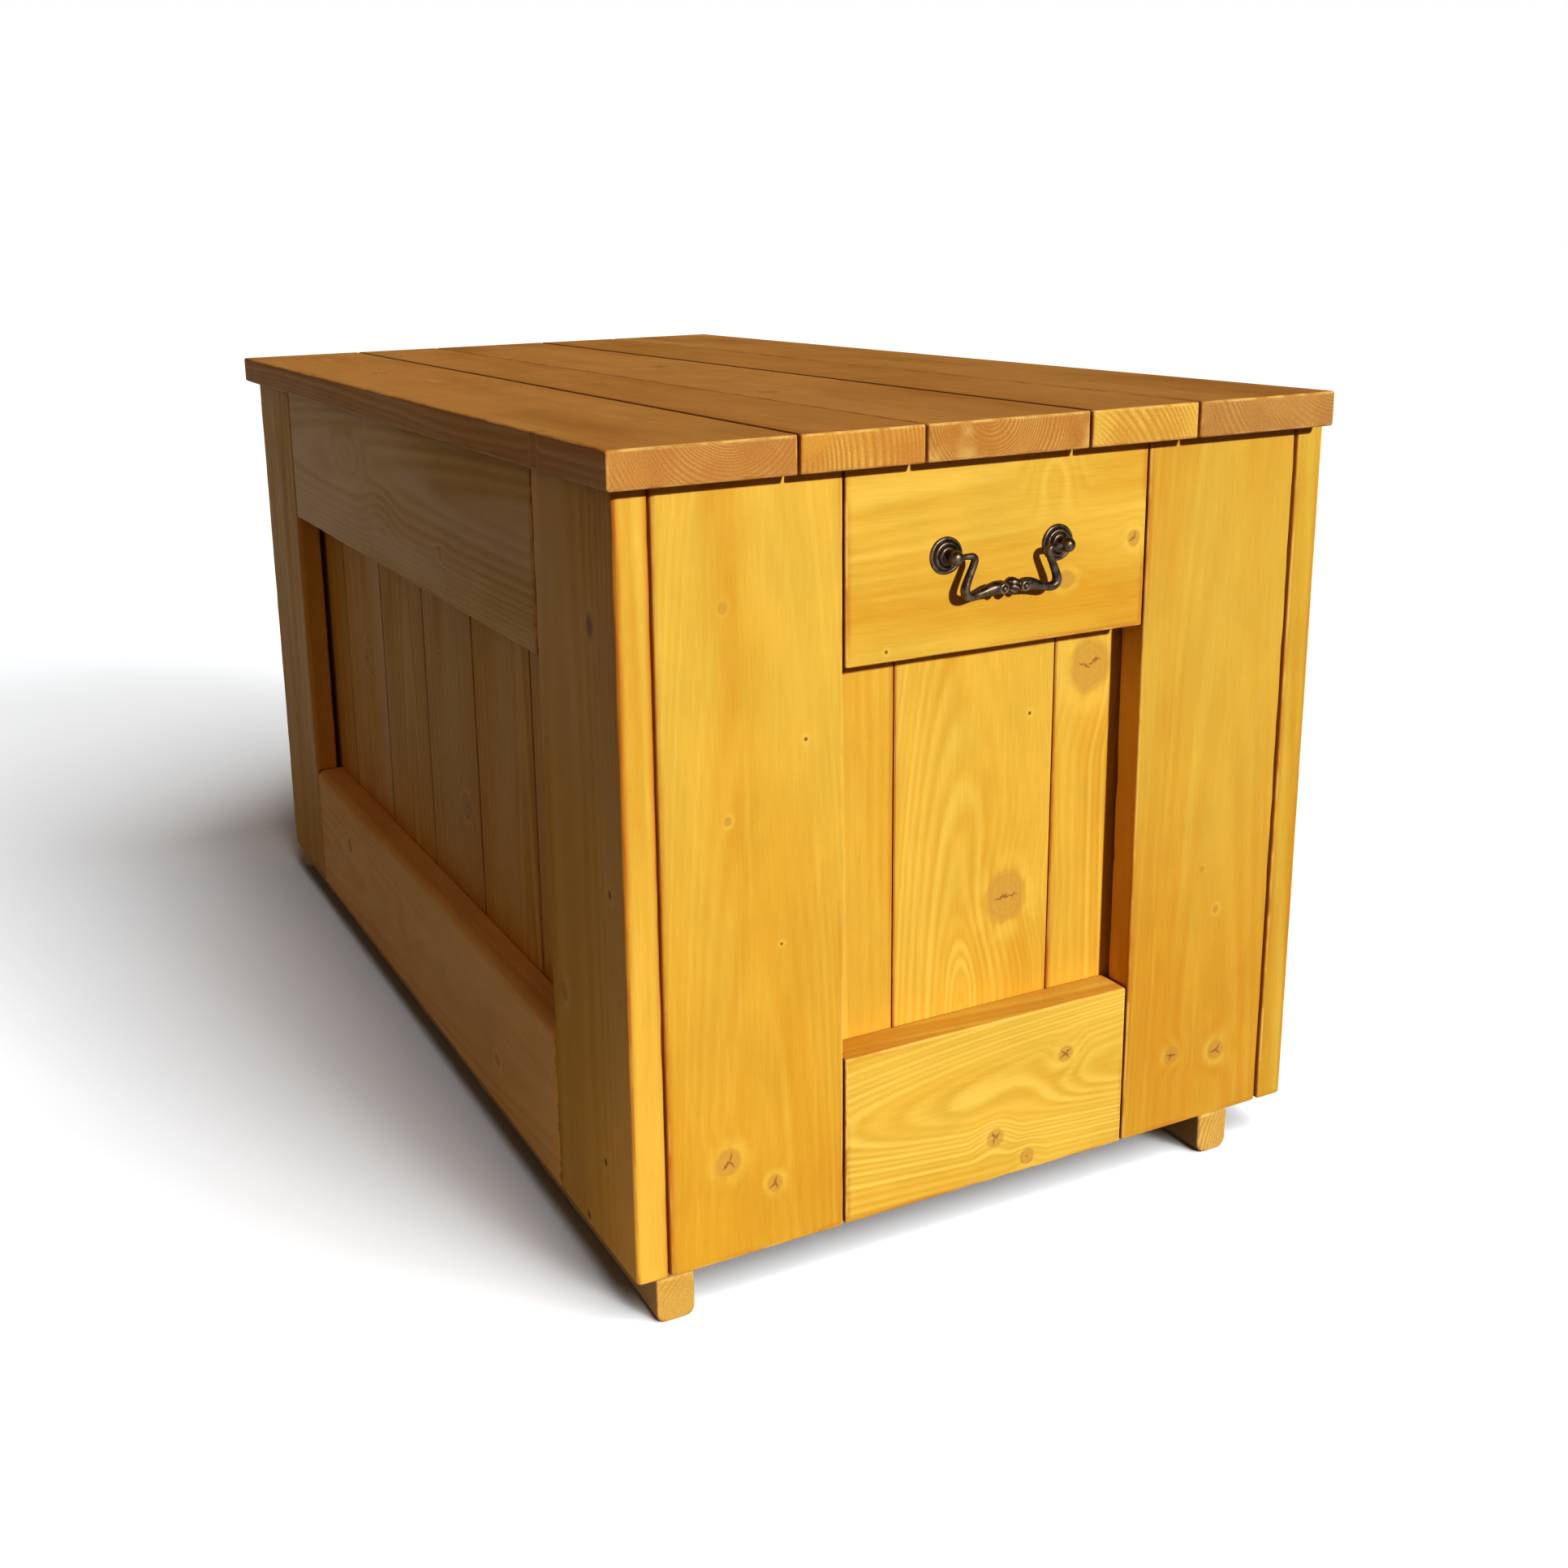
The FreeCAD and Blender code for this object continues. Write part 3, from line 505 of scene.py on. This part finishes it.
for stile, face, heart, lean, ring, seed, tint, knots, pins in end_stiles:
    joint, gap_side = ("far", -1) if "front" in stile else ("near", 1)
    finish = pine(stile + "_pine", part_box(stile), 2, face, heart, lean, ring, seed, figure=0.24, tint=tint,
                  foot=0.75, knots=knots, pins=pins, seams=[[joint, *span] for span in rail_spans])
    planed_board(stile, finish, grain=2, arris=0.0016, wear=1.0, seed=seed,
                 rounded_over={(face, gap_side): gap_arris})
end_rails = [
    ("right_end_top_rail", 1, (66, 80), (0.03, 0.012), 7.0, 63.0, 0.5,
     [(62.4, 507.8, 8, 7, 0.8), (123.9, 532.4, 6, 7, 0.8, 1.2, 3.4)], [(-90.8, 472.8, 1.8)],
     [(50.3, 588, 16, 22, 2.4), (58, 512, 22, 14, 0.8)]),
    ("right_end_bottom_rail", 1, (7, 40), (0.0, -0.085), 3.6, 66.0, 0.9,
     [(77.1, 126.6, 8, 7.5, 1.6, 0.7, 2.5, 3.8, 5.4), (11.3, 70.7, 8, 8, 1.6, 0.9, 2.1, 4.3),
      (42.1, 46.8, 6, 6.5, 1.2, "rim")], [], [(44, 104, 34, 13, 1.6)]),
    ("left_end_top_rail", -1, (-16, 54), (0.01, 0.03), 4.6, 69.0, 0.6,
     [(60, 540, 10, 9, 1.8, "rim")], [(-70, 500, 1.8)], []),
    ("left_end_bottom_rail", -1, (20, 44), (0.0, 0.07), 3.9, 72.0, 0.8,
     [(-40, 95, 9, 8, 1.6, 0.8, 2.6)], [(90, 130, 1.8)], []),
]
for rail, face, heart, lean, ring, seed, figure, knots, pins, crowns in end_rails:
    finish = pine(rail + "_pine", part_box(rail), 1, face, heart, lean, ring, seed, figure=figure, knots=knots,
                  pins=pins, crowns=crowns, seams=[["top"], ["foot"]])
    planed_board(rail, finish, grain=1, arris=0.0016, wear=1.0, seed=seed)

# Back frame: two stiles and two rails of stained pine, dowelled like the front's, of plainer boards.
# The top rail keeps its own shape, because the hinge leaves are let into its upper edge.
back_corner_stain = {**honey, "base": (202, 158, 64), "deep": (184, 134, 42), "pooled": (176, 116, 40)}
back_stiles = [
    ("back_left_stile", (-20, 52), (0.004, 0.02), 75.0, [(330, -440, 9, 8, 2.5, "rim", 0.7, 3.6)]),
    ("back_right_stile", (10, 46), (-0.006, 0.03), 78.0, [(180, 430, 10, 9, 2.8, "rim")]),
]
for stile, heart, lean, seed, knots in back_stiles:
    joint = "far" if "left" in stile else "near"
    finish = pine(stile + "_pine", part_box(stile), grain=2, face=1, heart=heart, lean=lean, ring=7.5,
                  seed=seed, tone=back_corner_stain, figure=0.4, foot=0.6, knots=knots,
                  seams=[[joint, *span] for span in rail_spans])
    planed_board(stile, finish, grain=2, arris=0.0016, wear=0.8, seed=seed)
back_rails = [
    ("back_bottom_rail", (12, 40), (0.01, -0.03), 5.4, 81.0, 0.45, [(120, 90, 10, 9, 3, 0.4, 2.5, 4.2)]),
    ("back_top_rail", (-14, 36), (0.01, 0.03), 5.0, 84.0, 0.5, [(-210, 530, 11, 10, 3, "rim")]),
]
for rail, heart, lean, ring, seed, figure, knots in back_rails:
    finish = pine(rail + "_pine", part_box(rail), grain=0, face=1, heart=heart, lean=lean, ring=ring, seed=seed,
                  figure=figure, knots=knots, seams=[["top"], ["foot"]])
    if rail == "back_top_rail":
        dress(rail, finish)
    else:
        planed_board(rail, finish, grain=0, arris=0.0016, wear=0.8, seed=seed)

# Corner posts: square pine posts inside each corner, planed and left without stain.
# Screws through them from inside hold the two stiles that meet at each corner.
for seed, post in enumerate(("front_left", "front_right", "back_left", "back_right"), start=90):
    node = post + "_corner_post"
    dress(node, pine(node + "_pine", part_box(node), grain=2, face=1, heart=(30, 40), lean=(0.01, 0.01),
                     ring=2.6, seed=seed, tone=bare_pine))
dress("corner_post_screws", screw_steel)

# Lining boards: tongued and grooved pine boards that stand behind the frames and close the four walls.
# They are stained like the frames, with dark stain left in the chamfers of their joints.
# On the front wall both boards and joints are darker still, as painted shade.
lining_width = 0.1435
end_first_joint = -0.0642 - 2 * lining_width
long_first_joint = -0.0148 - 4 * lining_width
right_cuts = [(10, 60, 0.01, 1.0), (-34, 70, 0.012, 1.0), (-8.5, 25, 0.16, 1.0), (40, 56, -0.01, 0.97),
              (0, 50, 0.02, 1.0)]
left_cuts = [(0, 50, 0.02, 1.0), (22, 44, -0.03, 0.98), (-16, 36, 0.03, 1.02), (30, 62, 0.01, 0.97),
             (0, 50, 0.0, 1.0)]
front_cuts = [(0, 50, 0.0, 1.0), (24, 40, 0.02, 0.97), (-20, 60, -0.02, 1.04), (12, 36, 0.03, 0.98),
              (-30, 66, 0.01, 0.95), (46, 30, 0.02, 1.03), (8, 42, -0.03, 1.0), (0, 50, 0.0, 1.0)]
back_cuts = [(0, 50, 0.0, 1.0), (-18, 44, 0.03, 1.02), (26, 58, -0.01, 0.96), (-8, 34, 0.035, 1.0),
             (34, 62, 0.01, 1.03), (-28, 40, -0.02, 0.97), (14, 50, 0.02, 1.0), (0, 50, 0.0, 1.0)]
# The front lining's tone is darker and its joint lines near black and strong: painted shade for the recess and
# grooves.
front_lining_painted_shade = {**honey, "base": (204, 156, 64), "light": (224, 184, 92), "deep": (192, 134, 38),
          "seam": (58, 24, 8)}
walls = [
    ("right_end", 1, end_first_joint, right_cuts, 101.0, honey, 0.46, 0.5,
     [(254.9, 38.9, 22, 19.5, 2.6, 1.45, 4.75), (430, 112, 23, 20, 2.6, 1.2, 4.9)], [(400, 56.6, 2.0)]),
    ("left_end", -1, end_first_joint, left_cuts, 104.0, honey, 0.4, 0.5,
     [(320, 30, 14, 13, 3.4, "rim", 1.7), (210, -100, 9, 8, 2.4, 0.6, 3.1)], [(420, 10, 2.2)]),
    ("front", -1, long_first_joint, front_cuts, 107.0, front_lining_painted_shade, 0.6, 0.95,
     [(330, -230, 10, 9, 2.6, "rim"), (260, 90, 12, 11, 3.0, "rim", 1.4)], [(390, 30, 2.2), (300, 330, 2.0)]),
    ("back", 1, long_first_joint, back_cuts, 110.0, honey, 0.5, 0.7,
     [(300, 180, 13, 12, 3.2, "rim", 2.0, 4.9), (400, -90, 10, 9, 2.6, "rim")], [(250, -300, 2.2)]),
]
for wall, face, first, cuts, seed, tone, figure, joint, knots, pins in walls:
    node = wall + "_lining_boards"
    dress(node, pine(node + "_pine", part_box(node), grain=2, face=face, heart=(0, 0), lean=(0, 0), ring=5.0,
                     seed=seed, tone=tone, figure=figure, foot=0.5, knots=knots, pins=pins,
                     seams=[["far"], ["near"]], boards=(lining_width, first, cuts), joint=joint))

# Lid: five thick pine planks with open joints, three wide and two narrow, their ends left square and sealed.
# Three battens screwed across underneath hold them flat, clear of the walls.
# The fifth plank keeps its own shape, because the hinge leaves are screwed to its back edge.
lid_stain = {**honey, "base": (204, 153, 84), "light": (222, 179, 114), "deep": (185, 127, 60),
             "wear_and_shade": (226, 184, 122), "seam": (120, 66, 28)}
lid_planks = [
    ("lid_plank_1", (171, 122, 64), (196, 150, 86), (186, 134, 70), (12, -34), (0.01, 0.02), 2.4, 121.0,
     [(412.6, -304, 5, 7, 0.5, "rim"), (-190, -240, 12, 10, 1.8, "rim", 0.3)], []),
    ("lid_plank_2", (184, 128, 58), (216, 170, 90), (204, 148, 66), (-96, 10), (0.006, 0.02), 4.6, 124.0,
     [(90, -118, 8, 7, 1.4, "rim")], [["near_open"]]),
    ("lid_plank_3", (170, 120, 58), (206, 162, 92), (246, 206, 136), (-14, -22), (-0.006, 0.03), 2.5, 127.0,
     [(-60, 10, 13, 11, 1.8, "rim", 0.4, 3.4), (260, -40, 9, 8, 1.6, "rim")], [["far_open"]]),
    ("lid_plank_4", (196, 142, 62), (228, 186, 104), (218, 172, 84), (-80, 60), (0.004, 0.02), 4.4, 130.0,
     [(-320, 110, 9, 8, 1.6, 0.9, 2.7, 4.4)], [["near_open"]]),
    ("lid_plank_5", (166, 124, 70), (192, 150, 88), (182, 138, 78), (66, -50), (0.006, 0.02), 3.4, 133.0,
     [(40, 230, 12, 10, 1.8, "rim", 0.2)], []),
]
crisp_arris = 0.0012
for plank, end, end_light, sapwood, heart, lean, ring, seed, knots, seams in lid_planks:
    plank_stain = {**lid_stain, "end": end, "end_light": end_light, "sapwood": sapwood}
    finish = pine(plank + "_pine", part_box(plank), grain=0, face=1, heart=heart, lean=lean, ring=ring,
                  seed=seed, tone=plank_stain, tint=0.98, knots=knots, seams=seams)
    if plank == "lid_plank_5":
        dress(plank, finish)
    else:
        crisp_sides = (1,) if plank == "lid_plank_1" else (1, -1)
        planed_board(plank, finish, grain=0, arris=0.0022, wear=0.8, seed=seed,
                     rounded_over={(side, edge): crisp_arris for side in crisp_sides for edge in (1, -1)})
battens = [("left_lid_batten", 6), ("middle_lid_batten", -3), ("right_lid_batten", -12)]
for seed, (batten, heart_across) in enumerate(battens, start=140):
    finish = pine(batten + "_pine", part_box(batten), grain=1, face=-1, heart=(heart_across, 44),
                  lean=(0.01, 0.02), ring=2.6, seed=seed, tone=bare_pine)
    planed_board(batten, finish, grain=1, arris=0.0015, wear=0.6, seed=seed)
dress("lid_batten_screws", screw_steel)

# Hinges: two pressed steel butt hinges at the back, five knuckles on a loose pin.
# One leaf is let into the back top rail and the other is screwed to the lid's back edge.
hinge_steel = steel("hinge_steel", stain(172, 160, 136), stain(138, 126, 104), stain(108, 78, 52), 6.0)
for side in ("left", "right"):
    for leaf in ("carcass_leaf", "lid_leaf", "pin"):
        dress(f"{side}_hinge_{leaf}", hinge_steel)
dress("carcass_hinge_screws", screw_steel)
dress("lid_hinge_screws", screw_steel)

# Handles: cast antique bronze, on each end two stepped rosettes, two turned posts and a swan-neck bail.
# Screws from inside hold the posts, and the bail's pins turn in their eyes.
# The neck's points are across, up and radius in millimetres, from a pin to the bail's crown.
post_offsets = (-0.048, 0.048)
pivot_reach, crown_drop = 0.012, 0.0246
rosette_steps = [(0, 0), (13.5, 0), (13.5, 0.7), (13.2, 1.3), (12.6, 1.75), (11.8, 1.9), (11.2, 1.75),
                 (10.9, 1.5), (10.6, 1.6), (10.2, 2.3), (9.6, 2.9), (8.8, 3.2), (8.1, 3.1), (7.7, 2.85),
                 (7.4, 2.95), (7.0, 3.6), (6.4, 4.2), (5.6, 4.55), (4.2, 4.6), (0, 4.6)]
post_steps = [(0, 4.2), (4.9, 4.2), (5.0, 4.7), (4.8, 5.2), (4.2, 5.8), (3.75, 6.6), (3.6, 7.4), (3.8, 8.2),
              (4.5, 9.0), (5.2, 10.0), (5.55, 11.2), (5.6, 12.2), (5.35, 13.8), (4.7, 15.3), (3.6, 16.6),
              (2.2, 17.4), (0, 17.6)]
scroll_steps = [(0, 0), (4.3, 0), (4.4, 2.6), (4.2, 5.2), (3.7, 6.2), (3.0, 6.6), (2.4, 6.3), (2.0, 5.9),
                (1.8, 6.4), (1.3, 7.1), (0.6, 7.4), (0, 7.5)]
scroll_behind, scroll_aside, scroll_below = 0.0012, 0.0092, 0.0004
neck = [(50.5, 0.0, 2.0), (46, 0.0, 2.0), (42, 0.0, 2.05), (37, 0.0, 2.3), (33.2, -0.2, 2.6),
        (31.4, -2.6, 2.75), (33.0, -7.0, 2.75), (35.6, -12.5, 2.85), (38.2, -18.5, 3.1), (39.9, -23.4, 3.45),
        (38.6, -27.6, 3.6), (34.2, -29.0, 3.4), (29, -28.2, 3.1), (24.5, -27.0, 3.3), (20, -25.7, 4.0),
        (16, -24.8, 4.7), (12, -24.4, 4.9), (8.6, -24.4, 4.3), (5.6, -24.5, 3.7), (0, -24.6, 3.6)]
shell = [(-4.6, 3.2), (-4.3, 4.3), (-3.5, 5.0), (-1.9, 5.8), (0.0, 6.3), (1.9, 5.8), (3.5, 5.0), (4.3, 4.3),
         (4.6, 3.2)]
shell_turns, shell_ribs, rib_height, rib_twist, shell_flatness = 64, 9, 0.07, 0.5, 0.95


def turned(steps, foot, outward, points, faces, turns):
    """Adds a form turned on a lathe: its steps are radius and height in millimetres from the foot."""
    start = len(points)
    for radius, height in steps:
        for part in range(turns):
            angle = 2 * math.pi * part / turns
            point = Vector((outward * height, radius * math.cos(angle), radius * math.sin(angle)))
            points.append(foot + point / 1000)
    for step in range(len(steps) - 1):
        for part in range(turns):
            follow = (part + 1) % turns
            low, high = start + step * turns, start + (step + 1) * turns
            face = (low + part, low + follow, high + follow, high + part)
            faces.append(face if outward > 0 else face[::-1])


def cast(name, body, points, faces, material, *nodes):
    """Makes one cast piece of points and faces, in the place of CAD pieces."""
    mesh = bpy.data.meshes.new(name)
    mesh.from_pydata(points, [], faces)
    welded = bmesh.new()
    welded.from_mesh(mesh)
    bmesh.ops.remove_doubles(welded, verts=welded.verts, dist=1e-7)
    welded.to_mesh(mesh)
    welded.free()
    mesh.polygons.foreach_set("use_smooth", [True] * len(mesh.polygons))
    mesh.materials.append(material)
    piece = bpy.data.objects.new(name, mesh)
    bpy.context.scene.collection.objects.link(piece)
    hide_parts(*nodes)
    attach(piece, body)


bronze = Finish("antique_bronze")
bronze_place = bronze.node("TexCoord", {}, "Object")
bronze_cloud = bronze.cloud(bronze_place, (220, 220, 220), 3.0, 4.0)
bronze_grit = bronze.cloud(bronze_place, (1500, 1500, 1500), 2.0, 9.0)
bronze_edge = bronze.ease(bronze.node("NewGeometry", {}, "Pointiness"), 0.5, 0.58)
bronze_rub = bronze.times(bronze_edge, bronze.ease(bronze_cloud, 0.35, 0.6, 0.4, 1.0))
bronze_dark = bronze.mix(bronze.ease(bronze_cloud, 0.35, 0.7), stain(44, 38, 35), stain(68, 54, 46))
bronze_colour = bronze.mix(bronze_rub, bronze_dark, stain(138, 121, 106))
bronze_grain = bronze.maths("ADD", bronze_cloud, bronze.times(bronze_grit, 0.4))
bronze_rough = bronze.ease(bronze_grain, 0.4, 1.0, 0.28, 0.48)
antique_bronze = bronze.polish(bronze_colour, bronze_rough, bronze_grit, 0.0002, Metallic=0.9)

for side, outward in (("right", 1), ("left", -1)):
    low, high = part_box(f"{side}_handle_rosettes")
    face_x = low.x if outward > 0 else high.x
    middle = Vector((face_x, (low.y + high.y) / 2, (low.z + high.z) / 2))
    points, faces = [], []
    for offset in post_offsets:
        turned(rosette_steps, middle + Vector((0, offset, 0)), outward, points, faces, turns=56)
    cast(f"{side}_rosettes_cast", "chest", points, faces, antique_bronze, f"{side}_handle_rosettes")
    points, faces = [], []
    for offset in post_offsets:
        turned(post_steps, middle + Vector((0, offset, 0)), outward, points, faces, turns=40)
    cast(f"{side}_posts_cast", "chest", points, faces, antique_bronze, f"{side}_handle_posts")

    pivot = middle + Vector((outward * pivot_reach, 0, 0))
    line = neck + [(-y, z, r) for y, z, r in reversed(neck[:-1])]
    curve = bpy.data.curves.new(side + "_bail_line", "CURVE")
    curve.dimensions = "3D"
    curve.bevel_depth = 0.001
    curve.bevel_resolution = 6
    curve.use_fill_caps = True
    spline = curve.splines.new("NURBS")
    spline.points.add(len(line) - 1)
    for place, (y, z, radius) in zip(spline.points, line):
        place.co = (*(pivot + Vector((0, y, z)) / 1000), 1.0)
        place.radius = radius
    spline.order_u = 3
    spline.use_endpoint_u = True
    spline.resolution_u = 6
    rod = bpy.data.objects.new(side + "_bail_line", curve)
    bar = bpy.data.meshes.new_from_object(rod)
    points = [vertex.co.copy() for vertex in bar.vertices]
    faces = [tuple(face.vertices) for face in bar.polygons]
    bpy.data.objects.remove(rod)
    bpy.data.curves.remove(curve)
    bpy.data.meshes.remove(bar)

    crown = pivot + Vector((0, 0, -crown_drop))
    start = len(points)
    for y, radius in shell:
        for part in range(shell_turns):
            angle = 2 * math.pi * part / shell_turns
            ribbed = radius * (1 + rib_height * math.cos(shell_ribs * angle + rib_twist * y))
            point = Vector((shell_flatness * ribbed * math.cos(angle), y, ribbed * math.sin(angle)))
            points.append(crown + point / 1000)
    for step in range(len(shell) - 1):
        for part in range(shell_turns):
            follow = (part + 1) % shell_turns
            first, second = start + step * shell_turns, start + (step + 1) * shell_turns
            faces.append((first + follow, first + part, second + part, second + follow))
    last = start + (len(shell) - 1) * shell_turns
    faces.append([start + part for part in range(shell_turns)])
    faces.append([last + part for part in range(shell_turns)][::-1])
    for hand in (-1, 1):
        eye = crown + Vector((-outward * scroll_behind, hand * scroll_aside, -scroll_below))
        turned(scroll_steps, eye, outward, points, faces, turns=32)
    cast(f"{side}_bail_cast", f"{side}_handle", points, faces, antique_bronze, f"{side}_bail")
    dress(f"{side}_handle_screws", screw_steel)

# Stage: a plain pale floor, a low warm sun from the right, soft lamps, and fills for the left and the back.
# The floor has two lamps of its own, and a weak one by the near corner stands for the light it throws back.
# The camera stands where the photograph was taken from.
floor_mesh = bpy.data.meshes.new("pale_floor")
reach = 30.0
floor_corners = [(-reach, -reach, 0), (reach, -reach, 0), (reach, reach, 0), (-reach, reach, 0)]
floor_mesh.from_pydata(floor_corners, [], [(0, 1, 2, 3)])
floor = bpy.data.objects.new("pale_floor", floor_mesh)
bpy.context.scene.collection.objects.link(floor)
floor.visible_diffuse = False
pale = Finish("pale_floor")
pale_cloud = pale.cloud(pale.node("TexCoord", {}, "Object"), (3, 3, 3), 3.0, 1.0)
pale_colour = pale.mix(pale_cloud, stain(244, 244, 244), stain(248, 248, 248))
pale_rough = pale.ease(pale_cloud, 0.2, 0.8, 0.8, 0.95)
floor_mesh.materials.append(pale.polish(pale_colour, pale_rough, pale_cloud, 0.0001, Specular_IOR_Level=0.1))

pale_only = bpy.data.collections.new("pale_only")
pale_only.objects.link(floor)
not_pale = bpy.data.collections.new("not_pale")
not_pale.objects.link(floor)
not_pale.collection_objects[0].light_linking.link_state = "EXCLUDE"
lamps = [
    ("window_sun", (0.9, 0.15, 0.38), 4.2, (1.0, 0.99, 0.88), 3, not_pale, True),
    ("front_softbox", (0.35, -0.8, 0.4), 0.235, (1.0, 0.64, 0.37), 50, not_pale, True),
    ("corner_softbox", (0.8, -0.5, 0.3), 0.235, (1.0, 0.65, 0.38), 60, not_pale, True),
    ("top_softbox", (0.0, -0.3, 1.0), 0.14, (1.0, 0.8, 0.62), 80, not_pale, True),
    ("left_softbox", (-1.0, 0.2, 0.07), 1.6, (1.0, 0.82, 0.6), 16, not_pale, False),
    ("back_softbox", (-0.2, 1.0, 0.07), 1.2, (1.0, 0.82, 0.6), 16, not_pale, False),
    ("floor_low_softbox", (0.883, 0.321, 0.342), 2.2, (0.98, 0.99, 1.0), 20, pale_only, True),
    ("floor_high_softbox", (0.604, 0.22, 0.766), 4.05, (0.98, 0.99, 1.0), 50, pale_only, True),
]
for name, towards, strength, colour, angle, lit, reflected in lamps:
    light = bpy.data.lights.new(name, "SUN")
    light.energy = strength
    light.color = colour
    light.angle = math.radians(angle)
    holder = bpy.data.objects.new(name, light)
    holder.rotation_euler = Vector(towards).to_track_quat("Z", "Y").to_euler()
    holder.light_linking.receiver_collection = lit
    holder.visible_glossy = reflected
    bpy.context.scene.collection.objects.link(holder)
bounce = bpy.data.lights.new("floor_bounce_card", "AREA")
bounce.size = 0.22
bounce.energy = 0.13
bounce.color = (1.0, 0.84, 0.66)
card_place, stile_foot = Vector((0.6, -0.43, 0.025)), Vector((0.46, -0.3, 0.12))
card = bpy.data.objects.new("floor_bounce_card", bounce)
card.location = card_place
card.rotation_euler = (card_place - stile_foot).to_track_quat("Z", "Y").to_euler()
card.light_linking.receiver_collection = not_pale
card.visible_camera = False
card.visible_glossy = False
bpy.context.scene.collection.objects.link(card)

world = bpy.data.worlds.new("soft_room")
world.use_nodes = True
room = world.node_tree
room.nodes.clear()
glow = room.nodes.new("ShaderNodeBackground")
glow.inputs["Color"].default_value = (0.041, 0.038, 0.036, 1.0)
backdrop = room.nodes.new("ShaderNodeBackground")
backdrop.inputs["Color"].default_value = (1.0, 1.0, 1.0, 1.0)
seen = room.nodes.new("ShaderNodeLightPath")
either = room.nodes.new("ShaderNodeMixShader")
room.links.new(seen.outputs["Is Camera Ray"], either.inputs[0])
room.links.new(glow.outputs[0], either.inputs[1])
room.links.new(backdrop.outputs[0], either.inputs[2])
room_output = room.nodes.new("ShaderNodeOutputWorld")
room.links.new(either.outputs[0], room_output.inputs["Surface"])
bpy.context.scene.world = world
contrast = ((0.03, 0.016), (0.09, 0.06), (0.25, 0.2), (0.55, 0.55), (0.9, 0.87))
view = bpy.context.scene.view_settings
view.view_transform = "Standard"
view.use_curve_mapping = True
for level, shown in contrast:
    view.curve_mapping.curves[3].points.new(level, shown)
view.curve_mapping.update()

camera_place = (1.491435, -0.708532, 0.757574)
azimuth, elevation, roll = (math.radians(degrees) for degrees in (65.002, 13.772, -1.465))
right = Vector((math.cos(azimuth), math.sin(azimuth), 0))
back = Vector((math.sin(azimuth) * math.cos(elevation), -math.cos(azimuth) * math.cos(elevation),
               math.sin(elevation)))
up = back.cross(right)
rolled_right = math.cos(roll) * right + math.sin(roll) * up
rolled_up = math.cos(roll) * up - math.sin(roll) * right
lens = bpy.data.cameras.new("photograph_camera")
lens.sensor_width = 36.0
lens.lens = 38.804
lens.shift_x = 0.07169
lens.shift_y = -0.08495
lens.clip_end = 200.0
camera = bpy.data.objects.new("photograph_camera", lens)
turned_to = Matrix((rolled_right, rolled_up, back)).transposed().to_4x4()
camera.matrix_world = Matrix.Translation(camera_place) @ turned_to
bpy.context.scene.collection.objects.link(camera)
bpy.context.scene.camera = camera
